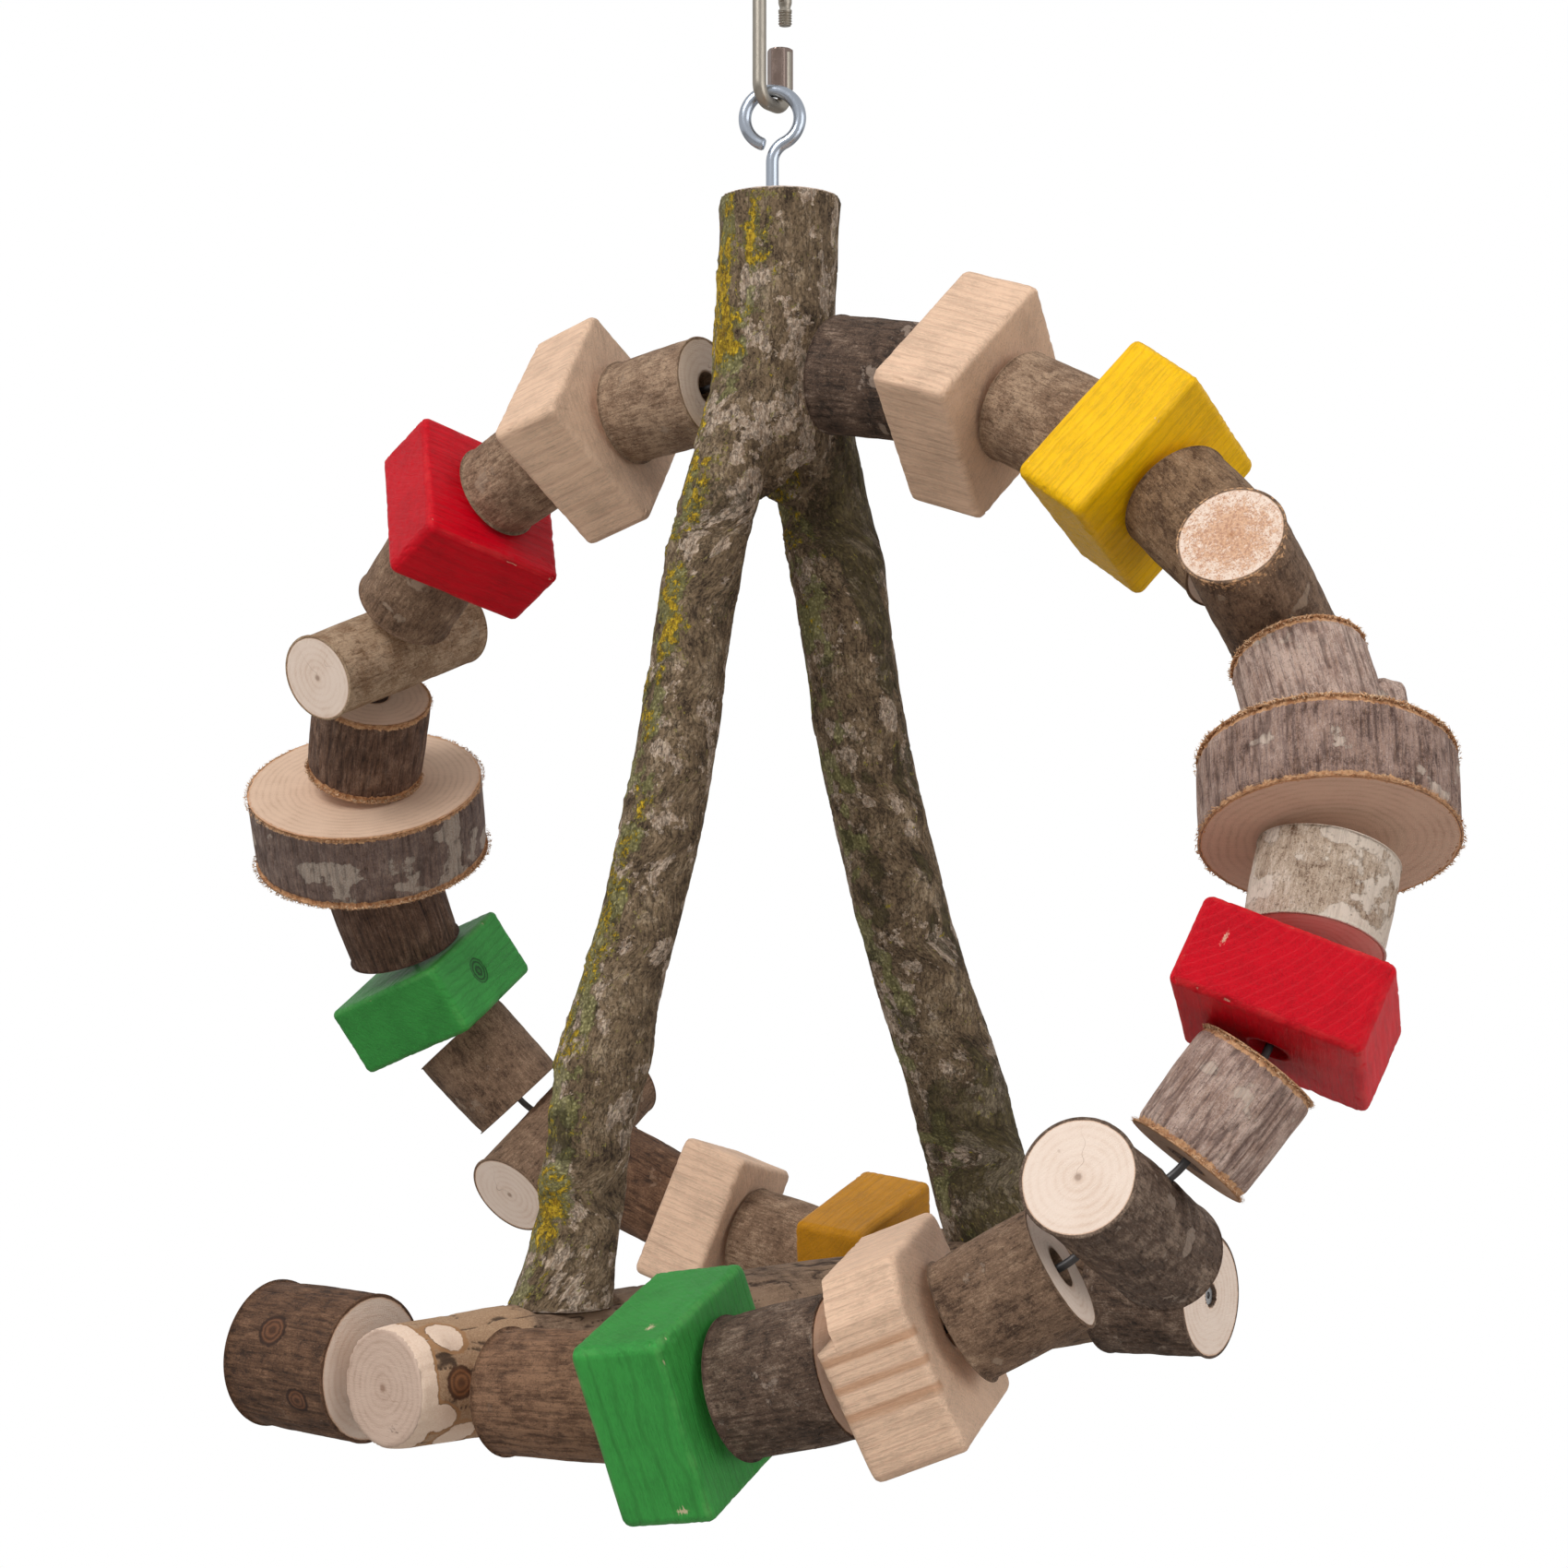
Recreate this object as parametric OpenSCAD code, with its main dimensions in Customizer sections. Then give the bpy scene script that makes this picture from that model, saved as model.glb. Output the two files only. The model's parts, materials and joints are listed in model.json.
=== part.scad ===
// Hanging bird swing: a forked branch on a steel eye, standing on a perch, with a steel
// wire that runs through the fork and spirals down both sides, threaded with bored wooden pieces.
// Frame: X to the right, Y away from the front, Z up. The origin is the point inside the top
// of the quick link where a cage hook carries the swing.

/* [Spiral wire] */
// Radius of the ring where it leaves the fork
ring_r = 137; // [120:1:160]
// Growth of the ring's radius per radian, as a share of ring_r
ring_growth_share = 0.266; // [0.24:0.005:0.29]
// Height of the ring as a share of its width
ring_squash_share = 0.82; // [0.78:0.01:0.86]
// How far the spiral comes forward and goes back
ring_depth = 179; // [165:1:190]
// Rate of the depth wave against the turn
ring_rate_share = 0.869; // [0.84:0.005:0.9]
// Second wave of the depth, as a share of the first
ring_wave_share = -0.205; // [-0.23:0.005:-0.18]
// Direction in which the ring starts to bend, in degrees
ring_lead_a = 14.8; // [13:0.1:17]
// Flattening of the ring across, as a share of ring_r
ring_pinch_share = -0.027; // [-0.04:0.001:0]
// Flattening of the ring along its height, as a share of ring_r
ring_dip_share = -0.036; // [-0.05:0.001:0]
// Diameter of the steel wire
wire_d = 2.4; // [2:0.1:3]
// Mouth of the flared bore for the wire in the fork and the perch
wire_hole_d = 8; // [6:0.5:9]

/* [Threaded pieces] */
// Usual diameter of a log slice
log_d = 38; // [34:0.5:42]
// Usual length of a log slice
log_len = 33; // [28:0.5:35]
// Side of a square block
block_side = 54; // [48:0.5:57]
// Thickness of a block
block_t = 27; // [22:0.5:29]
// Chamfer on the edges of a block
block_edge = 2.6; // [1:0.1:4]
// Diameter of a wide disc
disc_d = 80; // [70:0.5:84]
// Thickness of a wide disc
disc_t = 28; // [22:0.5:30]
// Diameter of a log bored across
cross_d = 34; // [30:0.5:36]
// Length of a log bored across
cross_len = 74; // [60:0.5:78]
// Diameter of the log that closes each end
end_d = 44; // [38:0.5:46]
// Length of the log that closes each end
end_len = 39; // [34:0.5:44]
// Mouth of the flared bore through the threaded pieces
bead_bore_d = 11.5; // [9:0.5:12]
// Thickness of the bark rim that is broken off at a sawn end
bark_t = 1.3; // [0.8:0.1:2]
// Least play between two threaded pieces
bead_play = 0.4; // [0.3:0.1:1]
// Diameter of the pocket that takes the crimp
pocket_d = 8; // [7:0.1:9]
// Depth of the pocket that takes the crimp
pocket_depth = 9; // [7:0.5:12]
// Diameter of a crimp
crimp_d = 6.2; // [5:0.1:6.8]
// Length of a crimp
crimp_len = 8; // [6:0.5:9]

/* [Fork] */
// Diameter of the trunk
trunk_d = 40.6; // [36:0.2:43]
// Height of the trunk above the wire hole
trunk_top = 59; // [50:1:70]
// Diameter of the thin leg at its middle
thin_leg_d = 27; // [24:0.5:30]
// Diameter of the thick leg at its middle
thick_leg_d = 34; // [30:0.5:36]
// Distance from the middle of the swing to the thin leg's foot
thin_foot_q = 92; // [85:1:100]
// Distance from the middle of the swing to the thick leg's foot
thick_foot_q = 115; // [105:1:122]

/* [Perch] */
// Diameter of the perch at its middle
perch_d = 41; // [36:0.5:44]
// Length of the perch from the middle to its thin end
perch_thin_len = 160; // [155:1:175]
// Length of the perch from the middle to its thick end
perch_thick_len = 193; // [180:1:205]
// Depth of the flat that each foot stands on
seat_depth = 4; // [2.5:0.5:6]
// Diameter of a foot screw
screw_d = 4.5; // [4:0.1:5]
// Length of a foot screw
screw_len = 62; // [50:1:70]
// Diameter of a foot screw's head
screw_head_d = 9; // [8:0.1:10]

/* [Eye and quick link] */
// Wire diameter of the screw eye
eye_wire_d = 4.2; // [3:0.1:4.5]
// Radius of the screw eye to the middle of its wire
eye_r = 9; // [8:0.1:10]
// Stem between the middle of the eye's wire and the wood
eye_stem = 17; // [11:0.5:20]
// Angle of the eye's plane to the front, in degrees
eye_turn_a = -6; // [-15:1:0]
// Depth of the screw in the wood
eye_screw_len = 30; // [20:1:36]
// Wire diameter of the quick link
link_wire_d = 4.5; // [4:0.1:5]
// Outside length of the quick link
link_len = 48; // [46:0.5:55]
// Inside width of the quick link
link_gap = 12; // [10:0.1:14]
// Width of the nut across its flats
nut_flats = 7.6; // [7:0.1:9]
// Length of the nut
nut_len = 14; // [12:0.5:15]
// Turn of the nut on its thread, in degrees
nut_turn_a = 36; // [0:1:60]
// How far the nut travels up to close the link
nut_travel = 10; // [9:0.5:11]
// Angle of the link's plane to the front, in degrees
link_turn_a = 72; // [65:1:80]

/* [Hidden] */
// Running clearance, on the radius, between parts that turn or slide on each other
fit_play = 0.05;
// Clearance between the eye and the link that carries it
hang_play = 0.2;
// Overrun of a cut past the face that it opens
over = 1;
FINE = 64;

// Each row: name, kind, colour, diameter share, length share, turn about the wire in degrees
RIGHT_ROWS = [
    ["right_log_1", "log", "dark", 1.045, 1.06, 0],
    ["right_block_2", "block", "beech", 1, 1.04, 47],
    ["right_log_3", "log", "bark", 0.965, 1, 0],
    ["right_block_4", "block", "yellow", 1, 1.03, 62],
    ["right_log_5", "log", "bark", 0.96, 0.96, 0],
    ["right_cross_log_6", "cross", "bark", 0.98, 1, 227],
    ["right_log_7", "log", "ridged", 1.05, 0.95, 100],
    ["right_disc_8", "disc", "ridged", 0.9, 0.92, 0],
    ["right_log_9", "log", "pale", 1.07, 0.8, 0],
    ["right_block_10", "block", "red", 1, 0.98, 47],
    ["right_log_11", "log", "ridged", 0.955, 0.97, 0],
    ["right_cross_log_12", "cross", "dark", 1, 0.93, 120],
    ["right_log_13", "log", "bark", 0.96, 0.93, 0],
    ["right_block_14", "planed", "beech", 1, 1.04, 169],
    ["right_log_15", "log", "dark", 1.085, 1.03, 0],
    ["right_block_16", "block", "green", 1, 1.08, 72],
    ["right_log_17", "log", "brown", 0.99, 1.3, 0],
    ["right_end_log_18", "end", "brown", 1.02, 1, 0],
];
LEFT_ROWS = [
    ["left_log_1", "log", "bark", 0.95, 1.01, 0],
    ["left_block_2", "block", "beech", 1, 1.01, 43],
    ["left_log_3", "log", "bark", 0.92, 0.95, 0],
    ["left_block_4", "block", "red", 1, 1, 20],
    ["left_log_5", "log", "bark", 0.99, 0.95, 0],
    ["left_cross_log_6", "cross", "bark", 0.97, 1, 62],
    ["left_log_7", "log", "ridged", 1.16, 1.02, 0],
    ["left_disc_8", "disc", "pale", 1.11, 1.04, 0],
    ["left_log_9", "log", "bark", 1.17, 1.06, 0],
    ["left_block_10", "block", "green", 1, 1.04, 51],
    ["left_log_11", "log", "bark", 1.07, 1.03, 0],
    ["left_cross_log_12", "cross", "bark", 1.04, 1, 312],
    ["left_log_13", "log", "brown", 1, 0.91, 0],
    ["left_block_14", "block", "beech", 1, 0.95, 79],
    ["left_log_15", "log", "bark", 1, 1, 0],
    ["left_block_16", "block", "ochre", 1, 1.04, 17],
    ["left_log_17", "log", "bark", 1, 0.95, 0],
    ["left_end_log_18", "end", "dark", 1, 1, 0],
];
COLOURS = [
    ["dark", "#4b3a30"], ["bark", "#776253"], ["ridged", "#7f6a63"], ["pale", "#a99a8c"],
    ["brown", "#6e4636"], ["beech", "#d8b596"], ["yellow", "#f2c100"], ["red", "#c8102e"],
    ["green", "#2f9e4a"], ["ochre", "#cf8a12"],
];

// Levels, measured down from the origin inside the top of the link
link_r = (link_gap + link_wire_d) / 2;
link_top_z = link_wire_d / 2 - link_r;
link_low_z = link_wire_d - link_len + link_wire_d / 2 + link_r;
link_seat_z = link_low_z - link_gap / 2;
// The link is straight for a little way at its bottom, where the eye turns on it
link_land = eye_wire_d + 2 * hang_play;
corner_r = link_r - link_land / 2;
corner_z = link_low_z - link_land / 2;
eye_top_z = link_seat_z + hang_play + eye_wire_d / 2;
eye_z = eye_top_z - eye_r;
trunk_top_z = eye_z - eye_r - eye_stem;
hole_z = trunk_top_z - trunk_top;

// Points of the right half of the spiral, by the angle t in degrees, from the wire hole's middle
RAD = 180 / PI;
function ring_radius(t) = ring_r * (1 + ring_growth_share * t / RAD);
function ring_x(t) = ring_radius(t) * sin(t + ring_lead_a) - ring_r * sin(ring_lead_a)
    + ring_r * ring_pinch_share * sin(2 * t);
function ring_y(t) = -ring_depth
    * (sin(ring_rate_share * t) + ring_wave_share * sin(2 * ring_rate_share * t));
function ring_z(t) = ring_squash_share * (ring_radius(t) * cos(t + ring_lead_a) - ring_r * cos(ring_lead_a))
    + ring_r * ring_dip_share * (cos(2 * t) - 1);
function ring_point(t) = [ring_x(t), ring_y(t), ring_z(t) + hole_z];

RING_STEP = 1;
RING_STEPS = 250;
ring_lengths = [for (i = 0, s = 0; i <= RING_STEPS;
    i = i + 1, s = s + norm(ring_point(i * RING_STEP) - ring_point((i - 1) * RING_STEP))) s];
ring_angles = [for (i = [0:RING_STEPS]) [ring_lengths[i], i * RING_STEP]];
function on_ring(s) = ring_point(lookup(s, ring_angles));
function unit(v) = v / norm(v);
WAY_SHARE = 1 / 8;
function ring_way(s) = unit(on_ring(s + log_len * WAY_SHARE) - on_ring(s - log_len * WAY_SHARE));
function turn_between(a, b) = acos(min(1, ring_way(a) * ring_way(b)));

// Size of a threaded piece along the wire, and how far it reaches from the wire
function along(row) =
    row[1] == "block" || row[1] == "planed" ? block_t * row[4]
    : row[1] == "disc" ? disc_t * row[4]
    : row[1] == "cross" ? cross_d * row[3]
    : row[1] == "end" ? end_len * row[4]
    : log_len * row[4];
function reach(row) =
    row[1] == "block" || row[1] == "planed" ? block_side / sqrt(2)
    : row[1] == "disc" ? disc_d * row[3] / 2
    : row[1] == "cross" ? cross_len * row[4] / 2
    : row[1] == "end" ? end_d * row[3] / 2
    : log_d * row[3] / 2;

// Tilted neighbours touch at the rim of the smaller one, so the room between them on the wire
// is that rim's radius times the sine of the tilt. The tilt is taken with a first guess of the room
ROOM_GUESS_SHARE = 0.1;
function room(rows, i, s) = let (
    a = s + along(rows[i]) / 2,
    b = s + along(rows[i]) + log_d * ROOM_GUESS_SHARE + along(rows[i + 1]) / 2)
    min(reach(rows[i]), reach(rows[i + 1])) * sin(turn_between(a, b)) + bead_play;
// A flat end meets the round side of the trunk or the perch with its rim first where the wire
// leans from square to it by the angle a
function side_room(round_r, flat_r, a) = (round_r + flat_r * sin(a)) / cos(a) + bead_play;
function lean(way, axis) = abs(asin(way * axis));
FORK_SWELL_SHARE = 1.06;
first_middle_s = trunk_d / 2 * FORK_SWELL_SHARE + log_d * ROOM_GUESS_SHARE + log_len / 2;
trunk_lean_a = lean(ring_way(first_middle_s), [0, 0, 1]);
first_s = side_room(trunk_d / 2 * FORK_SWELL_SHARE, log_d / 2, trunk_lean_a);
LAST = len(RIGHT_ROWS) - 1;

function starts(rows) = [for (i = 0, s = first_s; i < LAST;
    i = i + 1, s = s + along(rows[i - 1]) + room(rows, i - 1, s)) s];
right_starts = starts(RIGHT_ROWS);
left_starts = starts(LEFT_ROWS);

// Both halves cross the perch at the same length of wire, past the longer row. From the row's
// end the wire runs straight through the perch and the end log to its crimp
PERCH_SWELL_SHARE = 1.08;
row_end_s = max(right_starts[LAST - 1] + along(RIGHT_ROWS[LAST - 1]),
    left_starts[LAST - 1] + along(LEFT_ROWS[LAST - 1]));
function cross_lean(room) = let (p = on_ring(row_end_s + room))
    lean(unit(p - on_ring(row_end_s)), unit([p[0], p[1], 0]));
function room_at_perch(a) = side_room(perch_d / 2 * PERCH_SWELL_SHARE, end_d / 2, a);
perch_room = room_at_perch(cross_lean(room_at_perch(cross_lean(perch_d / 2))));
cross_s = row_end_s + perch_room;
cross_point = on_ring(cross_s);
cross_way = unit(cross_point - on_ring(cross_s - perch_room));
perch_a = atan2(-cross_point[1], -cross_point[0]);
perch_z = cross_point[2];

straight_s = cross_s - perch_room;
end_start = perch_room;
function wire_point(s) = s <= straight_s ? on_ring(s) : cross_point + (s - cross_s) * cross_way;
end_tail = end_start + end_len * RIGHT_ROWS[LAST][4] - pocket_depth + crimp_len;
wire_end_s = cross_s + end_tail;

// The wire is straight inside the trunk and inside each piece, and bends between the pieces
trunk_point = wire_point(first_s);
trunk_way = unit([trunk_point[0], trunk_point[1], 0]);
bore_z = trunk_point[2];
function stations(rows, begin) = concat(
    [for (i = [0:LAST - 1], e = [0, along(rows[i])]) if (begin[i] + e < straight_s - fit_play) begin[i] + e],
    [straight_s, cross_s, wire_end_s]);
right_stations = stations(RIGHT_ROWS, right_starts);
left_stations = stations(LEFT_ROWS, left_starts);

// Where a threaded piece sits: its middle on the chord of the wire, and the chord's direction
function spot(rows, begin, i) = let (
    s0 = i == LAST ? cross_s + end_start : begin[i],
    a = wire_point(s0),
    b = wire_point(s0 + along(rows[i])))
    [(a + b) / 2, unit(b - a)];
function half_turn(v) = [-v[0], -v[1], v[2]];

echo(leans=[trunk_lean_a, cross_lean(perch_room), perch_room, first_s]);
echo(land=[0, 0, link_low_z - link_r], land_way=[cos(link_turn_a), sin(link_turn_a), 0]);
echo(hole_z=hole_z, perch_a=perch_a, perch_z=perch_z, cross=cross_point, way=cross_way);
echo(row_ends=[right_starts[LAST - 1] + along(RIGHT_ROWS[LAST - 1]),
    left_starts[LAST - 1] + along(LEFT_ROWS[LAST - 1])]);
echo(levels=[link_low_z, link_seat_z, eye_top_z, eye_z, trunk_top_z], wire_length=2 * wire_end_s);
for (i = [0:LAST]) echo(bead=RIGHT_ROWS[i][0], spot=spot(RIGHT_ROWS, right_starts, i),
    size=[along(RIGHT_ROWS[i]), reach(RIGHT_ROWS[i])], turn=RIGHT_ROWS[i][5]);
for (i = [0:LAST]) let (p = spot(LEFT_ROWS, left_starts, i))
    echo(bead=LEFT_ROWS[i][0], spot=[half_turn(p[0]), half_turn(p[1])],
        size=[along(LEFT_ROWS[i]), reach(LEFT_ROWS[i])], turn=LEFT_ROWS[i][5]);

// Stands children with their Z axis along a direction
module along_way(point, way, turn = 0) {
    translate(point)
        rotate([0, acos(way[2]), atan2(way[1], way[0])])
            rotate([0, 0, turn])
                children();
}

function colour_of(key) = COLOURS[search([key], COLOURS)[0]][1];

// Half outline of a flared bore: a snug land in the middle and a wide mouth at both ends, so that
// the wire seats a piece and can still bend where it leaves it
LAND_SHARE = 0.34;
land_r = wire_d / 2 + fit_play;
function flare(len, mouth_d) = [
    [mouth_d / 2, -len / 2], [land_r, -len * LAND_SHARE / 2],
    [land_r, len * LAND_SHARE / 2], [mouth_d / 2, len / 2]];
module bore(len, mouth_d) {
    rotate_extrude($fn = FINE)
        polygon(concat(
            [[0, -len / 2 - mouth_d], [mouth_d / 2, -len / 2 - mouth_d]],
            flare(len, mouth_d),
            [[mouth_d / 2, len / 2 + mouth_d], [0, len / 2 + mouth_d]]));
}

// A sawn slice of a branch, slightly swollen, with its bark broken away at both rims
SLICE_TAPER_SHARE = 0.97;
SLICE_SWELL_SHARE = 1.02;
SWELL_SHARE = 1 / 6;
function slice_outline(d, len) = [
    [d / 2 - bark_t, -len / 2], [d / 2, bark_t - len / 2], [d / 2 * SLICE_SWELL_SHARE, -len * SWELL_SHARE],
    [d / 2 * SLICE_TAPER_SHARE, len / 2 - bark_t], [d / 2 * SLICE_TAPER_SHARE - bark_t, len / 2]];
module slice(d, len) {
    rotate_extrude($fn = FINE)
        polygon(concat([[0, -len / 2]], slice_outline(d, len), [[0, len / 2]]));
}
module bored_slice(d, len) {
    points = flare(len, bead_bore_d);
    rotate_extrude($fn = FINE)
        polygon(concat([for (i = [3:-1:0]) points[i]], slice_outline(d, len)));
}

function chamfered(a, b, c) = [
    [-a / 2 + c, -b / 2], [a / 2 - c, -b / 2], [a / 2, -b / 2 + c], [a / 2, b / 2 - c],
    [a / 2 - c, b / 2], [-a / 2 + c, b / 2], [-a / 2, b / 2 - c], [-a / 2, -b / 2 + c]];

// A square block with every edge broken and a bore through its thickness
module bored_block(side, thick) {
    difference() {
        intersection() {
            linear_extrude(thick, center = true) polygon(chamfered(side, side, block_edge * 2));
            rotate([90, 0, 0])
                linear_extrude(side + over, center = true) polygon(chamfered(side, thick, block_edge));
            rotate([90, 0, 90])
                linear_extrude(side + over, center = true) polygon(chamfered(side, thick, block_edge));
        }
        bore(thick, bead_bore_d);
    }
}

// The block with one corner planed off and a shallow rebate beside it
PLANED_CORNER_SHARE = 0.2;
REBATE_DEPTH_SHARE = 0.22;
REBATE_WIDTH_SHARE = 0.3;
module planed_block(side, thick) {
    difference() {
        bored_block(side, thick);
        translate([side / 2, -side / 2, 0])
            rotate(45)
                cube([side * PLANED_CORNER_SHARE * sqrt(2), side, thick + over], center = true);
        translate([side / 2, side / 2, thick / 2])
            cube([side * REBATE_WIDTH_SHARE * 2, side * 2 + over, thick * REBATE_DEPTH_SHARE * 2], center = true);
    }
}

// A log lying across the wire, bored through its side
module cross_log(d, len) {
    difference() {
        rotate([0, 90, 0]) slice(d / SLICE_SWELL_SHARE, len);
        bore(d, bead_bore_d);
    }
}

// The log that closes an end: a close bore for the wire and a pocket for the crimp
module end_log(d, len) {
    difference() {
        slice(d, len);
        cylinder(len + over, r = land_r, center = true, $fn = FINE);
        translate([0, 0, len / 2 - pocket_depth]) cylinder(pocket_depth + over, d = pocket_d, $fn = FINE);
    }
}

// The stub of a side shoot on the long ridged log
STUB_D_SHARE = 0.4;
STUB_OUT_SHARE = 0.62;
STUB_LIFT_SHARE = 0.19;
module stub_log(d, len) {
    bored_slice(d, len);
    intersection() {
        translate([0, 0, len * STUB_LIFT_SHARE])
            rotate([0, 90, 0]) cylinder(d * STUB_OUT_SHARE, d = d * STUB_D_SHARE, $fn = FINE);
        difference() {
            cylinder(len, r = d, center = true, $fn = FINE);
            cylinder(len + over, d = d * (1 + SLICE_TAPER_SHARE) / 2 - bark_t, center = true, $fn = FINE);
        }
    }
}

module threaded_piece(row) {
    kind = row[1];
    color(colour_of(row[2])) {
        if (kind == "block") bored_block(block_side * row[3], along(row));
        if (kind == "planed") planed_block(block_side * row[3], along(row));
        if (kind == "disc") bored_slice(disc_d * row[3], along(row));
        if (kind == "cross") cross_log(cross_d * row[3], cross_len * row[4]);
        if (kind == "end") end_log(end_d * row[3], along(row));
        if (kind == "log" && row[0] == "right_log_7") stub_log(log_d * row[3], along(row));
        if (kind == "log" && row[0] != "right_log_7") bored_slice(log_d * row[3], along(row));
    }
}

module right_piece(i) {
    p = spot(RIGHT_ROWS, right_starts, i);
    along_way(p[0], p[1], RIGHT_ROWS[i][5]) threaded_piece(RIGHT_ROWS[i]);
}

module left_piece(i) {
    p = spot(LEFT_ROWS, left_starts, i);
    along_way(half_turn(p[0]), half_turn(p[1]), LEFT_ROWS[i][5]) threaded_piece(LEFT_ROWS[i]);
}

// A tube through rings of points, closed at both ends
module skin(rings) {
    n = len(rings[0]);
    m = len(rings);
    polyhedron(
        [for (ring = rings) each ring],
        concat(
            [[for (k = [n - 1:-1:0]) k]],
            [for (j = [0:m - 2], k = [0:n - 1]) each [
                [j * n + k, j * n + (k + 1) % n, (j + 1) * n + (k + 1) % n],
                [j * n + k, (j + 1) * n + (k + 1) % n, (j + 1) * n + k]]],
            [[for (k = [0:n - 1]) (m - 1) * n + k]]));
}

// The wire, one unbroken tube from crimp to crimp
WIRE_SIDES = 8;
wire_line = concat(
    [for (i = [len(left_stations) - 1:-1:0]) half_turn(wire_point(left_stations[i]))],
    [for (s = right_stations) wire_point(s)]);
module spiral_wire() {
    n = len(wire_line) - 1;
    color("#8f8f92")
        skin([for (j = [0:n]) let (
            back = unit(wire_line[max(1, j)] - wire_line[max(1, j) - 1]),
            ahead = unit(wire_line[min(n, j + 1)] - wire_line[min(n, j + 1) - 1]),
            d = unit(back + ahead),
            u = unit(cross(d, [0, 0, 1])),
            v = cross(u, d))
            [for (k = [0:WIRE_SIDES - 1]) let (a = 360 * k / WIRE_SIDES)
                wire_line[j] + wire_d / 2 * (cos(a) * u + sin(a) * v)]]);
}

module crimp() {
    color("#c9cacc")
        difference() {
            cylinder(crimp_len, d = crimp_d, $fn = FINE);
            translate([0, 0, -over]) cylinder(crimp_len + 2 * over, d = wire_d + 2 * fit_play, $fn = FINE);
        }
}

module right_crimp() {
    along_way(wire_point(wire_end_s - crimp_len), cross_way) crimp();
}

module left_crimp() {
    along_way(half_turn(wire_point(wire_end_s - crimp_len)), half_turn(cross_way)) crimp();
}

// Where the feet stand along the perch, and the perch's own half thickness there
perch_dir = [cos(perch_a), sin(perch_a), 0];
function perch_spot(q) = q * perch_dir + [0, 0, perch_z];
// Length and radius of the perch, as shares of its half length and its half thickness
PERCH_SHARES = [
    [-1, 0.86], [-0.97, 0.89], [-0.86, 0.9], [-0.75, 0.94], [-0.5, 0.96], [-0.2, 0.99],
    [0.1, 1.02], [0.3, 1], [0.55, 1.05], [0.8, PERCH_SWELL_SHARE], [0.98, PERCH_SWELL_SHARE],
    [1, 1.05]];
function perch_q(share) = share < 0 ? share * perch_thin_len : share * perch_thick_len;
seat_z = perch_z + perch_d / 2 - seat_depth;

// Centre, height and thickness of each leg, as shares of its foot's distance, of the drop from
// the wire hole to the foot, and of its diameter
THIN_LEG_SHARES = [
    [-0.06, -0.1, 1.1], [0.1, 0.02, 1.08], [0.22, 0.11, 1.02], [0.33, 0.2, 1], [0.4, 0.3, 0.98],
    [0.46, 0.4, 1], [0.54, 0.5, 1.02], [0.64, 0.6, 1], [0.75, 0.69, 1.04], [0.81, 0.75, 1.14],
    [0.86, 0.82, 0.98], [0.9, 0.9, 0.98], [0.97, 0.97, 1.12], [1, 1, 1.24]];
THICK_LEG_SHARES = [
    [0.02, -0.06, 0.95], [0.12, 0.03, 0.96], [0.21, 0.13, 0.95], [0.27, 0.21, 0.96], [0.32, 0.3, 0.95],
    [0.37, 0.39, 0.96], [0.46, 0.5, 0.98], [0.55, 0.6, 1], [0.68, 0.71, 1.03], [0.8, 0.81, 1.06],
    [0.89, 0.9, 1.08], [0.96, 0.97, 1.1], [1, 1, 1.12]];
// Height above the wire hole, thickness and sideways lean of the trunk, as shares of its height
// and of its diameter
TRUNK_SHARES = [
    [1, 1.0, 0.06], [0.97, 1.02, 0.06], [0.7, 0.99, 0.05], [0.4, 1, 0.03], [0.1, 1.02, 0.01],
    [-0.25, 1.05, 0], [-0.42, 0.96, 0], [-0.58, 0.72, 0], [-0.72, 0.3, 0]];
LIMB_SIDES = 16;
function flat_ring(p, r) = [for (k = [0:LIMB_SIDES - 1]) let (a = 360 * k / LIMB_SIDES)
    p + r * [cos(a), sin(a), 0]];
leg_height = hole_z - seat_z;
function foot_width(d, shares) = d * shares[len(shares) - 1][2];

module leg(foot_q, d, shares, grow = 0) {
    skin([for (row = shares)
        flat_ring(foot_q * row[0] * perch_dir + [0, 0, hole_z - leg_height * row[1]],
            d / 2 * row[2] + grow)]);
}

// The lowest stretch of a leg with the play around it, which the perch is cut to take
module leg_room(foot_q, d, shares) {
    translate([0, 0, fit_play])
        leg(foot_q, d, [for (i = [len(shares) - 2, len(shares) - 1]) shares[i]], bead_play);
}

module fork_branch() {
    color("#6f6553")
        difference() {
            union() {
                skin([for (row = TRUNK_SHARES)
                    flat_ring([trunk_d * row[2], 0, hole_z + trunk_top * row[0]], trunk_d / 2 * row[1])]);
                leg(-thin_foot_q, thin_leg_d, THIN_LEG_SHARES);
                leg(thick_foot_q, thick_leg_d, THICK_LEG_SHARES);
            }
            along_way([0, 0, bore_z], trunk_way) bore(trunk_d * FORK_SWELL_SHARE, wire_hole_d);
            translate([0, 0, trunk_top_z - eye_screw_len - over])
                cylinder(eye_screw_len + 2 * over, d = stem_d + 2 * fit_play, $fn = FINE);
            for (q = [-thin_foot_q, thick_foot_q])
                translate(perch_spot(q))
                    cylinder(screw_tip_z - perch_z + over, d = screw_d + 2 * fit_play, $fn = FINE);
        }
}

// Foot screws come up through the perch, their heads sunk in its underside
head_depth_share = 0.3;
TIP_SHARE = 0.25;
screw_low_z = perch_z - perch_d / 2 * (1 - head_depth_share);
screw_tip_z = screw_low_z + screw_len;
screw_cone = (screw_head_d - screw_d) / 2;

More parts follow.
